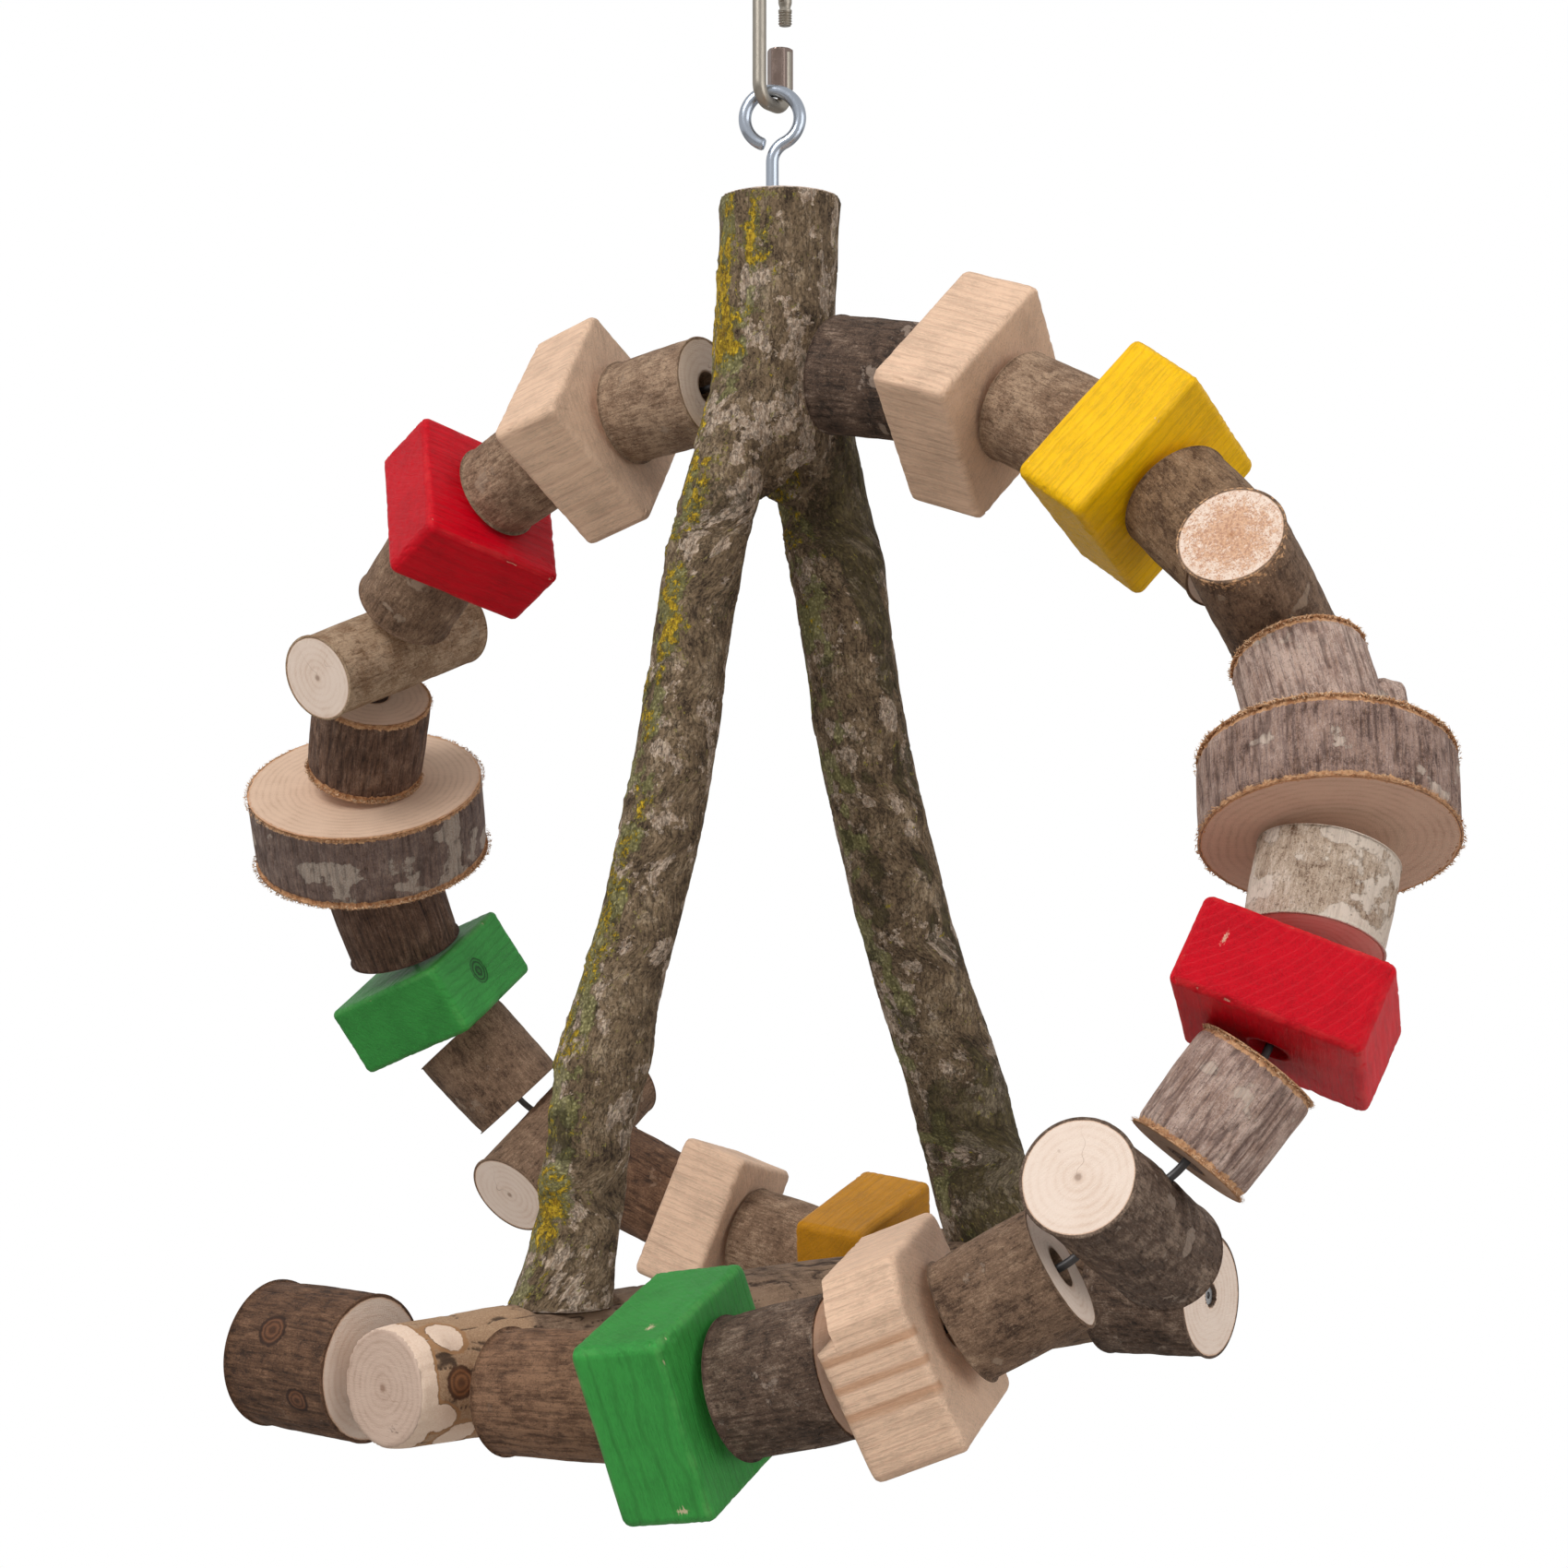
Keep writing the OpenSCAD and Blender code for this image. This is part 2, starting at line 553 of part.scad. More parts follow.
module foot_screw(q, slack = 0) {
    translate(perch_spot(q) + [0, 0, screw_low_z - perch_z]) {
        cylinder(screw_cone, d1 = screw_head_d + 2 * slack, d2 = screw_d + 2 * slack, $fn = FINE);
        translate([0, 0, screw_cone - fit_play])
            cylinder(screw_len - screw_cone - screw_d, d = screw_d + 2 * slack, $fn = FINE);
        translate([0, 0, screw_len - screw_d - 2 * fit_play])
            cylinder(screw_d, d1 = screw_d + 2 * slack, d2 = screw_d * TIP_SHARE, $fn = FINE);
    }
}

module perch_bar() {
    color("#85705d")
        difference() {
            translate([0, 0, perch_z])
                rotate([0, 90, perch_a])
                    rotate_extrude($fn = FINE)
                        polygon(concat(
                            [[0, perch_q(-1)]],
                            [for (row = PERCH_SHARES) [perch_d / 2 * row[1], perch_q(row[0])]],
                            [[0, perch_q(1)]]));
            for (seat = [[-thin_foot_q, foot_width(thin_leg_d, THIN_LEG_SHARES)],
                         [thick_foot_q, foot_width(thick_leg_d, THICK_LEG_SHARES)]])
                translate(perch_spot(seat[0]) + [0, 0, seat_z - perch_z])
                    rotate(perch_a)
                        translate([0, 0, perch_d / 2])
                            cube([seat[1] + 2 * bead_play, perch_d + over, perch_d], center = true);
            leg_room(-thin_foot_q, thin_leg_d, THIN_LEG_SHARES);
            leg_room(thick_foot_q, thick_leg_d, THICK_LEG_SHARES);
            along_way(cross_point, cross_way) bore(perch_d, wire_hole_d);
            along_way(half_turn(cross_point), half_turn(cross_way)) bore(perch_d, wire_hole_d);
            for (q = [-thin_foot_q, thick_foot_q]) {
                translate(perch_spot(q) + [0, 0, screw_low_z - perch_z - perch_d])
                    cylinder(perch_d + fit_play, d = screw_head_d + 2 * fit_play, $fn = FINE);
                foot_screw(q, fit_play);
                translate(perch_spot(q))
                    cylinder(perch_d, d = screw_d + 2 * fit_play, $fn = FINE);
            }
        }
}

module thin_foot_screw() {
    color("#b8b9bb") foot_screw(-thin_foot_q);
}

module thick_foot_screw() {
    color("#b8b9bb") foot_screw(thick_foot_q);
}

// The eye faces the front: a ring with a gap at its lower left, on a pointed stem
eye_start_a = -102;
eye_end_a = 246;
STEM_SHARE = 0.92;
stem_d = eye_wire_d * STEM_SHARE;
module eye_screw() {
    color("#c3c8cf")
        translate([0, 0, eye_z]) {
            rotate([90, 0, eye_turn_a])
                rotate(eye_start_a)
                    rotate_extrude(angle = eye_end_a - eye_start_a, $fn = FINE)
                        translate([eye_r, 0]) circle(d = eye_wire_d, $fn = FINE);
            translate([0, 0, stem_d - eye_r - eye_stem - eye_screw_len])
                cylinder(eye_screw_len + eye_stem - stem_d, d = stem_d, $fn = FINE);
            translate([0, 0, -eye_r - eye_stem - eye_screw_len])
                cylinder(stem_d, d1 = stem_d * TIP_SHARE, d2 = stem_d, $fn = FINE);
        }
}

// The quick link: one bent wire, open on the nut's side. The open nut hangs a little below the
// straight side's end and covers all but the tip of the stub that it turns on. At the top of its
// travel it grips the other side's end
NUT_DROP_SHARE = 0.45;
STUB_TIP_SHARE = 0.25;
NUT_GRIP_SHARE = 0.55;
nut_low_z = link_low_z - link_wire_d * NUT_DROP_SHARE;
nut_top_z = nut_low_z + nut_len;
link_open = nut_travel - link_wire_d * NUT_GRIP_SHARE;
arm_end_z = nut_top_z + link_open;
stub_end_z = nut_top_z - link_wire_d * STUB_TIP_SHARE;
module quick_link() {
    color("#a39d94")
        rotate(link_turn_a) {
            translate([0, 0, link_top_z])
                rotate([90, 0, 0])
                    rotate_extrude(angle = 180, $fn = FINE)
                        translate([link_r, 0]) circle(d = link_wire_d, $fn = FINE);
            for (side = [0, 180])
                rotate(side)
                    translate([link_land / 2, 0, corner_z])
                        rotate([-90, 0, 0])
                            rotate_extrude(angle = 90, $fn = FINE)
                                translate([corner_r, 0]) circle(d = link_wire_d, $fn = FINE);
            translate([-link_land / 2, 0, corner_z - corner_r])
                rotate([0, 90, 0]) cylinder(link_land, d = link_wire_d, $fn = FINE);
            translate([-link_r, 0, corner_z])
                cylinder(link_top_z - corner_z, d = link_wire_d, $fn = FINE);
            translate([link_r, 0, arm_end_z])
                cylinder(link_top_z - arm_end_z, d = link_wire_d, $fn = FINE);
            translate([link_r, 0, corner_z])
                cylinder(stub_end_z - corner_z, d = link_wire_d, $fn = FINE);
        }
}

nut_bore_d = link_wire_d + 2 * fit_play;
module link_nut() {
    color("#9a948b")
        rotate(link_turn_a)
            translate([link_r, 0, nut_low_z])
                rotate(nut_turn_a) difference() {
                    cylinder(nut_len, d = nut_flats / cos(30), $fn = 6);
                    translate([0, 0, -over]) cylinder(nut_len + 2 * over, d = nut_bore_d, $fn = FINE);
                }
}

quick_link();
link_nut();
eye_screw();
fork_branch();
perch_bar();
spiral_wire();
right_crimp();
left_crimp();
thin_foot_screw();
thick_foot_screw();
for (i = [0:LAST]) right_piece(i);
for (i = [0:LAST]) left_piece(i);
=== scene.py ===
"""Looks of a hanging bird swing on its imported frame: bark, sawn wood, stained blocks and steel."""

import json
import math

import bmesh
import bpy
import numpy as np
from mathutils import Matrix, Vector
from bpy.props import FloatProperty, FloatVectorProperty, PointerProperty


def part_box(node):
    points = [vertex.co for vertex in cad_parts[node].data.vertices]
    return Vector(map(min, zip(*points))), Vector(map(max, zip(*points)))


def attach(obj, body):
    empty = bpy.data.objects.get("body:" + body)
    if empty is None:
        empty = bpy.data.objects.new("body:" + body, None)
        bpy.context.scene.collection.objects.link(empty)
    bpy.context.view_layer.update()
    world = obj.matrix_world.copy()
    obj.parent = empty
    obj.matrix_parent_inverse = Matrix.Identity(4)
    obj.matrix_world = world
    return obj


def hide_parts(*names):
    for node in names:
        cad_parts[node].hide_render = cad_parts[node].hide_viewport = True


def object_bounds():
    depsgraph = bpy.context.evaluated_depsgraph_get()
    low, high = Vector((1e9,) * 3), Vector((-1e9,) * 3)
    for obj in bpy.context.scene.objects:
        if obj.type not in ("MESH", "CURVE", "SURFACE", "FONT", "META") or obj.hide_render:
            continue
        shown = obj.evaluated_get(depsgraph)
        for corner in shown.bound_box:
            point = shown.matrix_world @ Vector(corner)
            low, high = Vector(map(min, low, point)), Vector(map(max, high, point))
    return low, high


bl_info = {
    "name": "Bird swing looks",
    "version": (1, 0, 0),
    "blender": (4, 5, 0),
    "location": "View3D > Sidebar > Swing",
    "description": "Builds the bark, wood and steel of a hanging bird swing on its packed frame",
    "category": "Object",
}

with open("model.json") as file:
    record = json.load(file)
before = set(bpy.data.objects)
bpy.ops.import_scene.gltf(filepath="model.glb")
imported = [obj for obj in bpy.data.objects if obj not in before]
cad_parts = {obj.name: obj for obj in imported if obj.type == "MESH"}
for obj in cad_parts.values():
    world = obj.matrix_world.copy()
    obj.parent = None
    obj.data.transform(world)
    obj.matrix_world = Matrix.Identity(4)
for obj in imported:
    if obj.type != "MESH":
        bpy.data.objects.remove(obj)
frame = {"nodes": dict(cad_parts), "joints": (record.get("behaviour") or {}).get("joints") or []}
CAD_BOX = [list(corner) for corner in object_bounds()]
MM = 0.001
JOINTS = {joint["child"]: joint for joint in frame["joints"]}
SWING_BODY = "swing_frame"

# Millimetres: the bore's radius at its mouths and at its land, and the thickness of bark
BORE_MOUTH, BORE_LAND, BARK_T = 5.6, 1.35, 1.6


# Places

class Place:
    """A piece's own frame, in millimetres: its Z axis lies along the wire that carries it."""

    def __init__(self, middle, way, turn=0.0):
        way = np.array(way, float) / np.linalg.norm(way)
        lean, heading = math.acos(way[2]), math.atan2(way[1], way[0])
        self.middle = np.array(middle, float)
        self.axes = turned("z", heading) @ turned("y", lean) @ turned("z", math.radians(turn))

    def out(self, points):
        """Own millimetres to the shared frame's metres."""
        return points @ self.axes.T * MM + self.middle

    def back(self, points):
        """The shared frame's metres to own millimetres."""
        return (points - self.middle) @ self.axes / MM

    def aim(self, directions):
        """Directions in the shared frame to own directions."""
        return directions @ self.axes


def turned(axis, angle):
    """Rotation matrix by an angle in radians about the z or the y axis."""
    c, s = math.cos(angle), math.sin(angle)
    if axis == "z":
        return np.array([[c, -s, 0], [s, c, 0], [0, 0, 1]])
    return np.array([[c, 0, s], [0, 1, 0], [-s, 0, c]])


def place_of(node, turn=0.0):
    """The place of a threaded piece, from the joint that it turns on."""
    joint = JOINTS[node]
    return Place(joint["pos_m"], joint["axis"], turn)


def rows_of(items, field):
    """A vector property of all items of a mesh, one row for each."""
    flat = np.empty(len(items) * 3, np.float32)
    items.foreach_get(field, flat)
    return flat.reshape(-1, 3).astype(float)


def corners_of(node):
    """The vertices of a CAD node, in the shared frame's metres."""
    return rows_of(frame["nodes"][node].data.vertices, "co")


# Random fields

def lattice(cells, seed):
    """A number from 0 to 1 for each whole-number cell, by mixing the bits of its coordinates."""
    x, y, z = (cells[:, i].astype(np.int64) for i in range(3))
    mixed = (x * 374761393 + y * 668265263 + z * 1274126177 + seed * 974634777) & 0xFFFFFFFF
    mixed = ((mixed ^ (mixed >> 13)) * 1103515245) & 0xFFFFFFFF
    mixed = ((mixed ^ (mixed >> 16)) * 2246822519) & 0xFFFFFFFF
    return (mixed ^ (mixed >> 15)) / 0xFFFFFFFF


def cloud(points, grain, seed):
    """Smooth random field from 0 to 1: the eight lattice values around a point, blended by a
    quintic of its place in the cell. grain is the cell's size along each axis."""
    scaled = points / grain
    low = np.floor(scaled)
    part = scaled - low
    part = part ** 3 * (part * (part * 6 - 15) + 10)
    total = 0.0
    for i in (0, 1):
        for j in (0, 1):
            for k in (0, 1):
                weight = (np.abs(1 - i - part[:, 0]) * np.abs(1 - j - part[:, 1])
                          * np.abs(1 - k - part[:, 2]))
                total = total + weight * lattice(low + (i, j, k), seed)
    return total


def layers(points, grain, seed, count=3):
    """Sum of clouds, each at half the grain and half the weight of the one before, from 0 to 1."""
    grain = np.array(grain, float)
    total, weight = 0.0, 0.0
    for i in range(count):
        total = total + cloud(points, grain / 2 ** i, seed + 17 * i) / 2 ** i
        weight += 1 / 2 ** i
    return total / weight


def creases(points, grain, seed):
    """Sharp valleys from 0 to 1: one minus twice a layered field's distance from its middle."""
    return 1 - np.abs(layers(points, grain, seed, 2) * 2 - 1) * 2


def ramp(values, low, high):
    """Smooth step from 0 at low to 1 at high."""
    part = np.clip((values - low) / (high - low), 0, 1)
    return part * part * (3 - 2 * part)


def blob(own, middle, reach):
    """A field that is 1 at the middle and falls to 0.37 at its reach, as a Gaussian."""
    away = (own - np.array(middle, float)) / np.array(reach, float)
    return np.exp(-(away ** 2).sum(1))


def bumps(points, spots):
    """Sum of Gaussian swellings, each with its middle, its reach and its height in millimetres."""
    total = np.zeros(len(points))
    for middle, reach, height in spots:
        away = np.linalg.norm(points - np.array(middle), axis=1) / reach
        total += height * np.exp(-away ** 2 * 2)
    return total


# Meshes

def quads(rows, columns, wrap):
    """Faces of a grid whose columns close on themselves, and whose rows do too if wrap is true."""
    j, i = np.meshgrid(np.arange(rows if wrap else rows - 1), np.arange(columns), indexing="ij")
    ahead, beside = (j + 1) % rows, (i + 1) % columns
    return np.stack([j * columns + i, j * columns + beside,
                     ahead * columns + beside, ahead * columns + i], -1).reshape(-1, 4)


def piece_from(name, points, faces, caps=()):
    """A mesh object from arrays: points in metres, four-sided faces, and caps with many sides."""
    mesh = bpy.data.meshes.new(name)
    corners = np.concatenate([faces.ravel(), *caps]).astype(np.int32)
    sizes = np.array([4] * len(faces) + [len(cap) for cap in caps])
    starts = np.concatenate([[0], np.cumsum(sizes)[:-1]]).astype(np.int32)
    mesh.vertices.add(len(points))
    mesh.loops.add(len(corners))
    mesh.loops.foreach_set("vertex_index", corners)
    mesh.polygons.add(len(sizes))
    mesh.polygons.foreach_set("loop_start", starts)
    put_points(mesh, points)
    mesh.update(calc_edges=True)
    mesh.validate()
    return link(name, mesh)


def put_points(mesh, points):
    """Gives the mesh new vertex places."""
    mesh.vertices.foreach_set("co", np.ascontiguousarray(points, np.float32).ravel())


def link(name, mesh):
    """A new smooth-shaded object for a mesh, at the origin."""
    piece = bpy.data.objects.new(name, mesh)
    bpy.context.scene.collection.objects.link(piece)
    smooth(mesh)
    return piece


def smooth(mesh):
    """Shades every face smooth."""
    mesh.polygons.foreach_set("use_smooth", np.ones(len(mesh.polygons), bool))


def grid_piece(name, grid, wrap=False):
    """A tube of rings, rows by columns by three, closed like a ring itself if wrap is true and
    otherwise closed by a flat cap at both ends."""
    rows, columns = grid.shape[:2]
    caps = [] if wrap else [np.arange(columns)[::-1], (rows - 1) * columns + np.arange(columns)]
    return piece_from(name, grid.reshape(-1, 3), quads(rows, columns, wrap), caps)


def points_of(piece):
    """The vertices of an object's mesh as an array."""
    return rows_of(piece.data.vertices, "co")


def normals_of(piece):
    """The vertex normals of an object's mesh as an array."""
    return rows_of(piece.data.vertex_normals, "vector")


def press(piece, depth):
    """Moves every vertex inwards along its normal, by its own depth in millimetres."""
    put_points(piece.data, points_of(piece) - normals_of(piece) * (depth * MM)[:, None])
    piece.data.update()


def alter(piece, kind, **settings):
    """Replaces the mesh by the result of one modifier."""
    step = piece.modifiers.new(kind.lower(), kind)
    for key, value in settings.items():
        setattr(step, key, value)
    depsgraph = bpy.context.evaluated_depsgraph_get()
    done = bpy.data.meshes.new_from_object(piece.evaluated_get(depsgraph))
    piece.modifiers.clear()
    old, piece.data = piece.data, done
    bpy.data.meshes.remove(old)
    smooth(done)


def combine(piece, operation, tool):
    """Adds the tool's solid to the piece or takes it out, and removes the tool."""
    alter(piece, "BOOLEAN", operation=operation, solver="EXACT", object=tool)
    bpy.data.objects.remove(tool)


def turn_outward(piece):
    """Turns every closed shell's faces outwards."""
    shape = bmesh.new()
    shape.from_mesh(piece.data)
    bmesh.ops.recalc_face_normals(shape, faces=shape.faces)
    shape.to_mesh(piece.data)
    shape.free()


def mark(piece, **fields):
    """Stores one vector for each vertex under each name, for the materials to read. Three fields of
    numbers make one vector."""
    for name, values in fields.items():
        values = np.stack(values, 1) if isinstance(values, tuple) else values
        layer = piece.data.attributes.new(name, "FLOAT_VECTOR", "POINT")
        layer.data.foreach_set("vector", np.ascontiguousarray(values, np.float32).ravel())


def seat(piece, body, slot, material, *nodes):
    """Finishes a piece: material, body that it moves with and the nodes that it replaces. The slot
    is not used.
    """
    piece.data.materials.clear()
    piece.data.materials.append(material)
    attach(piece, body)
    if nodes:
        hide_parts(*nodes)


# Outlines and sections

# How far a log's section is from round, as a share of its radius
WOBBLE = 0.05


def round_outline(radius, count, seed):
    """A nearly round outline: the radius varies with the angle by a few slow waves of random phase.
    Returns a function of the inset that gives the points, so that rims can round inwards."""
    angle = np.arange(count) / count * 2 * np.pi
    rng = np.random.default_rng(seed)
    waves = sum(rng.uniform(-1, 1) / k * np.cos(k * angle + rng.uniform(0, 6.28))
                for k in (2, 3, 4, 5))
    reach = radius * (1 - WOBBLE * (1 + waves / 2) / 2)
    circle = np.stack([np.cos(angle), np.sin(angle)], -1)
    return lambda inset: circle * (reach - inset)[:, None]


def square_outline(side, bend, count, clipped):
    """A square with rounded corners, walked counter-clockwise from its lower right corner, which is
    clipped by a flat if clipped is over zero. The bend is the corners' radius; a deeper inset makes
    it smaller."""
    half = side / 2
    corners = [(half, -half), (half, half), (-half, half), (-half, -half)]
    if clipped:
        corners = [(half - clipped, -half), (half, -half + clipped)] + corners[1:]
    corners = np.array(corners, float)
    n = len(corners)
    after = np.roll(corners, -1, 0)
    way = (after - corners) / np.linalg.norm(after - corners, axis=1)[:, None]
    inward = np.stack([-way[:, 1], way[:, 0]], -1)
    per_corner, per_side = count // (3 * n), count // n - count // (3 * n)

    def outline(inset):
        """The corner between side k-1 and side k is an arc about the point that lies one bend
        inside both sides."""
        tight = max(bend - inset, 0.15)
        arcs = []
        for k in range(n):
            before, here = inward[k - 1], inward[k]
            middle = corners[k] + (before + here) * (tight + inset) / (1 + before @ here)
            start, end = (math.atan2(-side[1], -side[0]) for side in (before, here))
            if end < start:
                end += 2 * math.pi
            arc = start + (end - start) * np.linspace(0, 1, per_corner)
            arcs.append(middle + tight * np.stack([np.cos(arc), np.sin(arc)], -1))
        flat = []
        for k in range(n):
            first, last = arcs[k][-1], arcs[(k + 1) % n][0]
            part = np.linspace(0, 1, per_side + 2)[1:-1, None]
            flat += [arcs[k], first + (last - first) * part]
        return np.concatenate(flat)

    return outline


# The angles of a rounded rim's rings, the bore's heights in half lengths and its radii, and the
# smallest ring of a sawn end
RIM_TURN = np.linspace(0, np.pi / 2, 5)[1:-1]
BORE_ROWS = ((0.96, BORE_MOUTH), (0.36, BORE_LAND), (-0.36, BORE_LAND), (-0.96, BORE_MOUTH))
PITH_SHARE = 0.02


def ring_at(flat, z):
    """A flat ring of points at a height."""
    return np.concatenate([flat, np.full((len(flat), 1), float(z))], 1)


def side_rings(outline, half, rim, swell, count):
    """The side of a slice from its lower rim to its upper one. Both rims are quarter rounds, and in
    between the inset is swell of the height over the half length."""
    lower = [(outline(rim * (1 - math.sin(a))), rim * (1 - math.cos(a)) - half) for a in RIM_TURN]
    side = [(outline(swell(z / half)), z) for z in np.linspace(rim - half, half - rim, count)]
    upper = [(flat, -z) for flat, z in lower[::-1]]
    return [ring_at(flat, z) for flat, z in lower + side + upper]


def bored_grid(outline, half, rim, swell, rows):
    """A bored slice as a closed ring of rings. The rows run down through the bore, which narrows
    from its mouths to a land in its middle third, over the lower face from the bore's mouth to the
    outline, up the side, and over the upper face back to the bore."""
    across, along = rows
    edge = outline(rim)
    angle = np.arctan2(edge[:, 1], edge[:, 0])
    circle = np.stack([np.cos(angle), np.sin(angle)], -1)
    spread = np.linspace(0, 1, across)

    def face(z, parts):
        """A sawn face at a height: 0 is the bore's mouth and 1 the edge."""
        return [ring_at(circle * BORE_MOUTH * (1 - part) + edge * part, z) for part in parts]

    bore = [ring_at(circle * r, z * half) for z, r in BORE_ROWS]
    side = side_rings(outline, half, rim, swell, along)
    return np.array(bore + face(-half, spread) + side + face(half, spread[::-1]))


def log_grid(outline, half, rim, swell, rows):
    """A solid log as rings about its own axis: from the middle of one sawn end over its face, round
    the rim, along the side and back to the middle of the other end."""
    across, along = rows
    lower = [ring_at(outline(rim) * part, -half) for part in np.linspace(PITH_SHARE, 1, across)]
    upper = [ring_at(outline(rim) * part, half) for part in np.linspace(1, PITH_SHARE, across)]
    return np.array(lower + side_rings(outline, half, rim, swell, along) + upper)


def swollen(share, taper):
    """Inset of a log's side along its length: least at the middle, more towards the thinner end."""
    return lambda t: share * t * t + taper * (1 + t) / 2


def tube_grid(path, radius, sides):
    """A round section carried along a path: each ring stands square to the path, and its first
    direction is carried over from ring to ring without twist."""
    path = np.asarray(path, float)
    way = np.gradient(path, axis=0)
    way /= np.linalg.norm(way, axis=1)[:, None]
    radius = np.ones(len(path)) * radius
    across = np.cross(way[0], [0.3, 0.9, 0.2])
    angle = np.arange(sides) / sides * 2 * np.pi
    rings = []
    for point, ahead, r in zip(path, way, radius):
        across = across - ahead * (across @ ahead)
        across /= np.linalg.norm(across)
        side = np.cross(ahead, across)
        rings.append(point + r * (np.cos(angle)[:, None] * across + np.sin(angle)[:, None] * side))
    return np.array(rings)


def smooth_path(points, ways, steps):
    """Cubic through points with given directions, steps samples between each pair."""
    points, ways = np.asarray(points, float), np.asarray(ways, float)
    out = [points[:1]]
    for a, b, u, v in zip(points[:-1], points[1:], ways[:-1], ways[1:]):
        t = np.linspace(0, 1, steps + 1)[1:, None]
        gap = np.linalg.norm(b - a)
        out.append((2 * t ** 3 - 3 * t ** 2 + 1) * a + (t ** 3 - 2 * t ** 2 + t) * gap * u
                   + (3 * t ** 2 - 2 * t ** 3) * b + (t ** 3 - t ** 2) * gap * v)
    return np.concatenate(out)


# The shader's own arithmetic

def tint(red, green, blue):
    """A colour given as it looks on a screen, 0 to 255, as the shader's linear numbers."""
    return tuple(((c / 255 + 0.055) / 1.055) ** 2.4 if c > 10 else c / 3294
                 for c in (red, green, blue))


def shade(colour, share):
    """The colour with its light taken down to a share."""
    return tuple(c * share for c in colour)


class Number:
    """A number carried by a socket. Arithmetic on it adds the Math nodes."""

    def __init__(self, tree, socket):
        self.tree, self.socket = tree, socket

    def math(self, operation, *items):
        """A Math node with the given inputs."""
        node = self.tree.nodes.new("ShaderNodeMath")
        node.operation = operation
        for target, item in zip(node.inputs, items):
            plug(self.tree, item, target)
        return Number(self.tree, node.outputs[0])

    def __add__(self, other):
        return self.math("ADD", self, other)

    def __radd__(self, other):
        return self.math("ADD", other, self)

    def __sub__(self, other):
        return self.math("SUBTRACT", self, other)

    def __rsub__(self, other):
        return self.math("SUBTRACT", other, self)

    def __mul__(self, other):
        return self.math("MULTIPLY", self, other)

    def __rmul__(self, other):
        return self.math("MULTIPLY", other, self)

    def step(self, low, high):
        """Smooth step from 0 at low to 1 at high."""
        node = self.tree.nodes.new("ShaderNodeMapRange")
        node.interpolation_type = "SMOOTHSTEP"
        plug(self.tree, self, node.inputs["Value"])
        node.inputs["From Min"].default_value = low
        node.inputs["From Max"].default_value = high
        return Number(self.tree, node.outputs["Result"])

    def sine(self):
        """Its sine, for rings."""
        return self.math("SINE", self)

    def size(self):
        """Its distance from 0."""
        return self.math("ABSOLUTE", self)

    def root(self):
        """Its square root."""
        return self.math("SQRT", self)


def plug(tree, item, target):
    """Puts a number, a colour, a Number or a socket into a socket."""
    if isinstance(item, Number):
        tree.links.new(item.socket, target)
    elif isinstance(item, bpy.types.NodeSocket):
        tree.links.new(item, target)
    elif isinstance(item, tuple) and len(item) == 3 and target.type == "RGBA":
        target.default_value = (*item, 1.0)
    else:
        target.default_value = item


class Finish:
    """One procedural material: the few kinds of node that the finishes share, and the colour that
    they build up in layers."""

    def __init__(self, name):
        self.material = bpy.data.materials.new(name)
        self.material.use_nodes = True
        self.tree = self.material.node_tree
        self.shader = self.tree.nodes["Principled BSDF"]
        self.colour = None

    def node(self, kind, settings=None, **inputs):
        """A node of a kind, with its settings put first and then its sockets, named with
        underscores."""
        node = self.tree.nodes.new("ShaderNode" + kind)
        for key, value in (settings or {}).items():
            setattr(node, key, value)
        for key, value in inputs.items():
            plug(self.tree, value, node.inputs[key.replace("_", " ")])
        return node

    def read(self, name):
        """The vector that each vertex carries under a name."""
        return self.node("Attribute", {"attribute_name": name}).outputs["Vector"]

    def parts(self, vector):
        """The three numbers of a vector."""
        outputs = self.node("SeparateXYZ", Vector=vector).outputs
        return [Number(self.tree, out) for out in outputs]

    def stretch(self, vector, x, y, z):
        """The vector with its axes scaled."""
        return self.node("Mapping", Vector=vector, Scale=(x, y, z)).outputs["Vector"]

    def drawn(self, vector, share):
        """The vector for a pattern that is drawn out along the log."""
        return self.stretch(vector, 1.0, 1.0, share)

    def noise(self, vector, scale, detail=4.0, roughness=0.6, distortion=0.0):
        """Blender's noise, from 0 to 1."""
        node = self.node("TexNoise", Vector=vector, Scale=scale, Detail=detail,
                         Roughness=roughness, Distortion=distortion)
        return Number(self.tree, node.outputs[0])

    def cells(self, vector, scale):
        """Distance to the nearest of scattered points, for specks and scales."""
        return Number(self.tree, self.node("TexVoronoi", Vector=vector, Scale=scale).outputs[0])

    def blend(self, mask, first, second):
        """The first colour where the mask is 0 and the second where it is 1."""
        node = self.node("Mix", {"data_type": "RGBA"})
        plug(self.tree, mask, node.inputs["Factor"])
        plug(self.tree, first, node.inputs[6])
        plug(self.tree, second, node.inputs[7])
        return node.outputs[2]

    def lay(self, mask, colour):
        """Lays a colour over what is there already, where the mask is 1."""
        self.colour = self.blend(mask, self.colour, colour)

    def close(self, roughness, height=None, depth=0.0, **fixed):
        """Plugs the results into the shader, with a bump whose full height is depth millimetres.
        The fixed values stay on its sockets."""
        plug(self.tree, self.colour, self.shader.inputs["Base Color"])
        plug(self.tree, roughness, self.shader.inputs["Roughness"])
        if height is not None:
            bump = self.node("Bump", Strength=1.0, Distance=depth * MM, Height=height)
            plug(self.tree, bump.outputs["Normal"], self.shader.inputs["Normal"])
        for key, value in fixed.items():
            plug(self.tree, value, self.shader.inputs[key.replace("_", " ")])
        return self.material


# Finishes

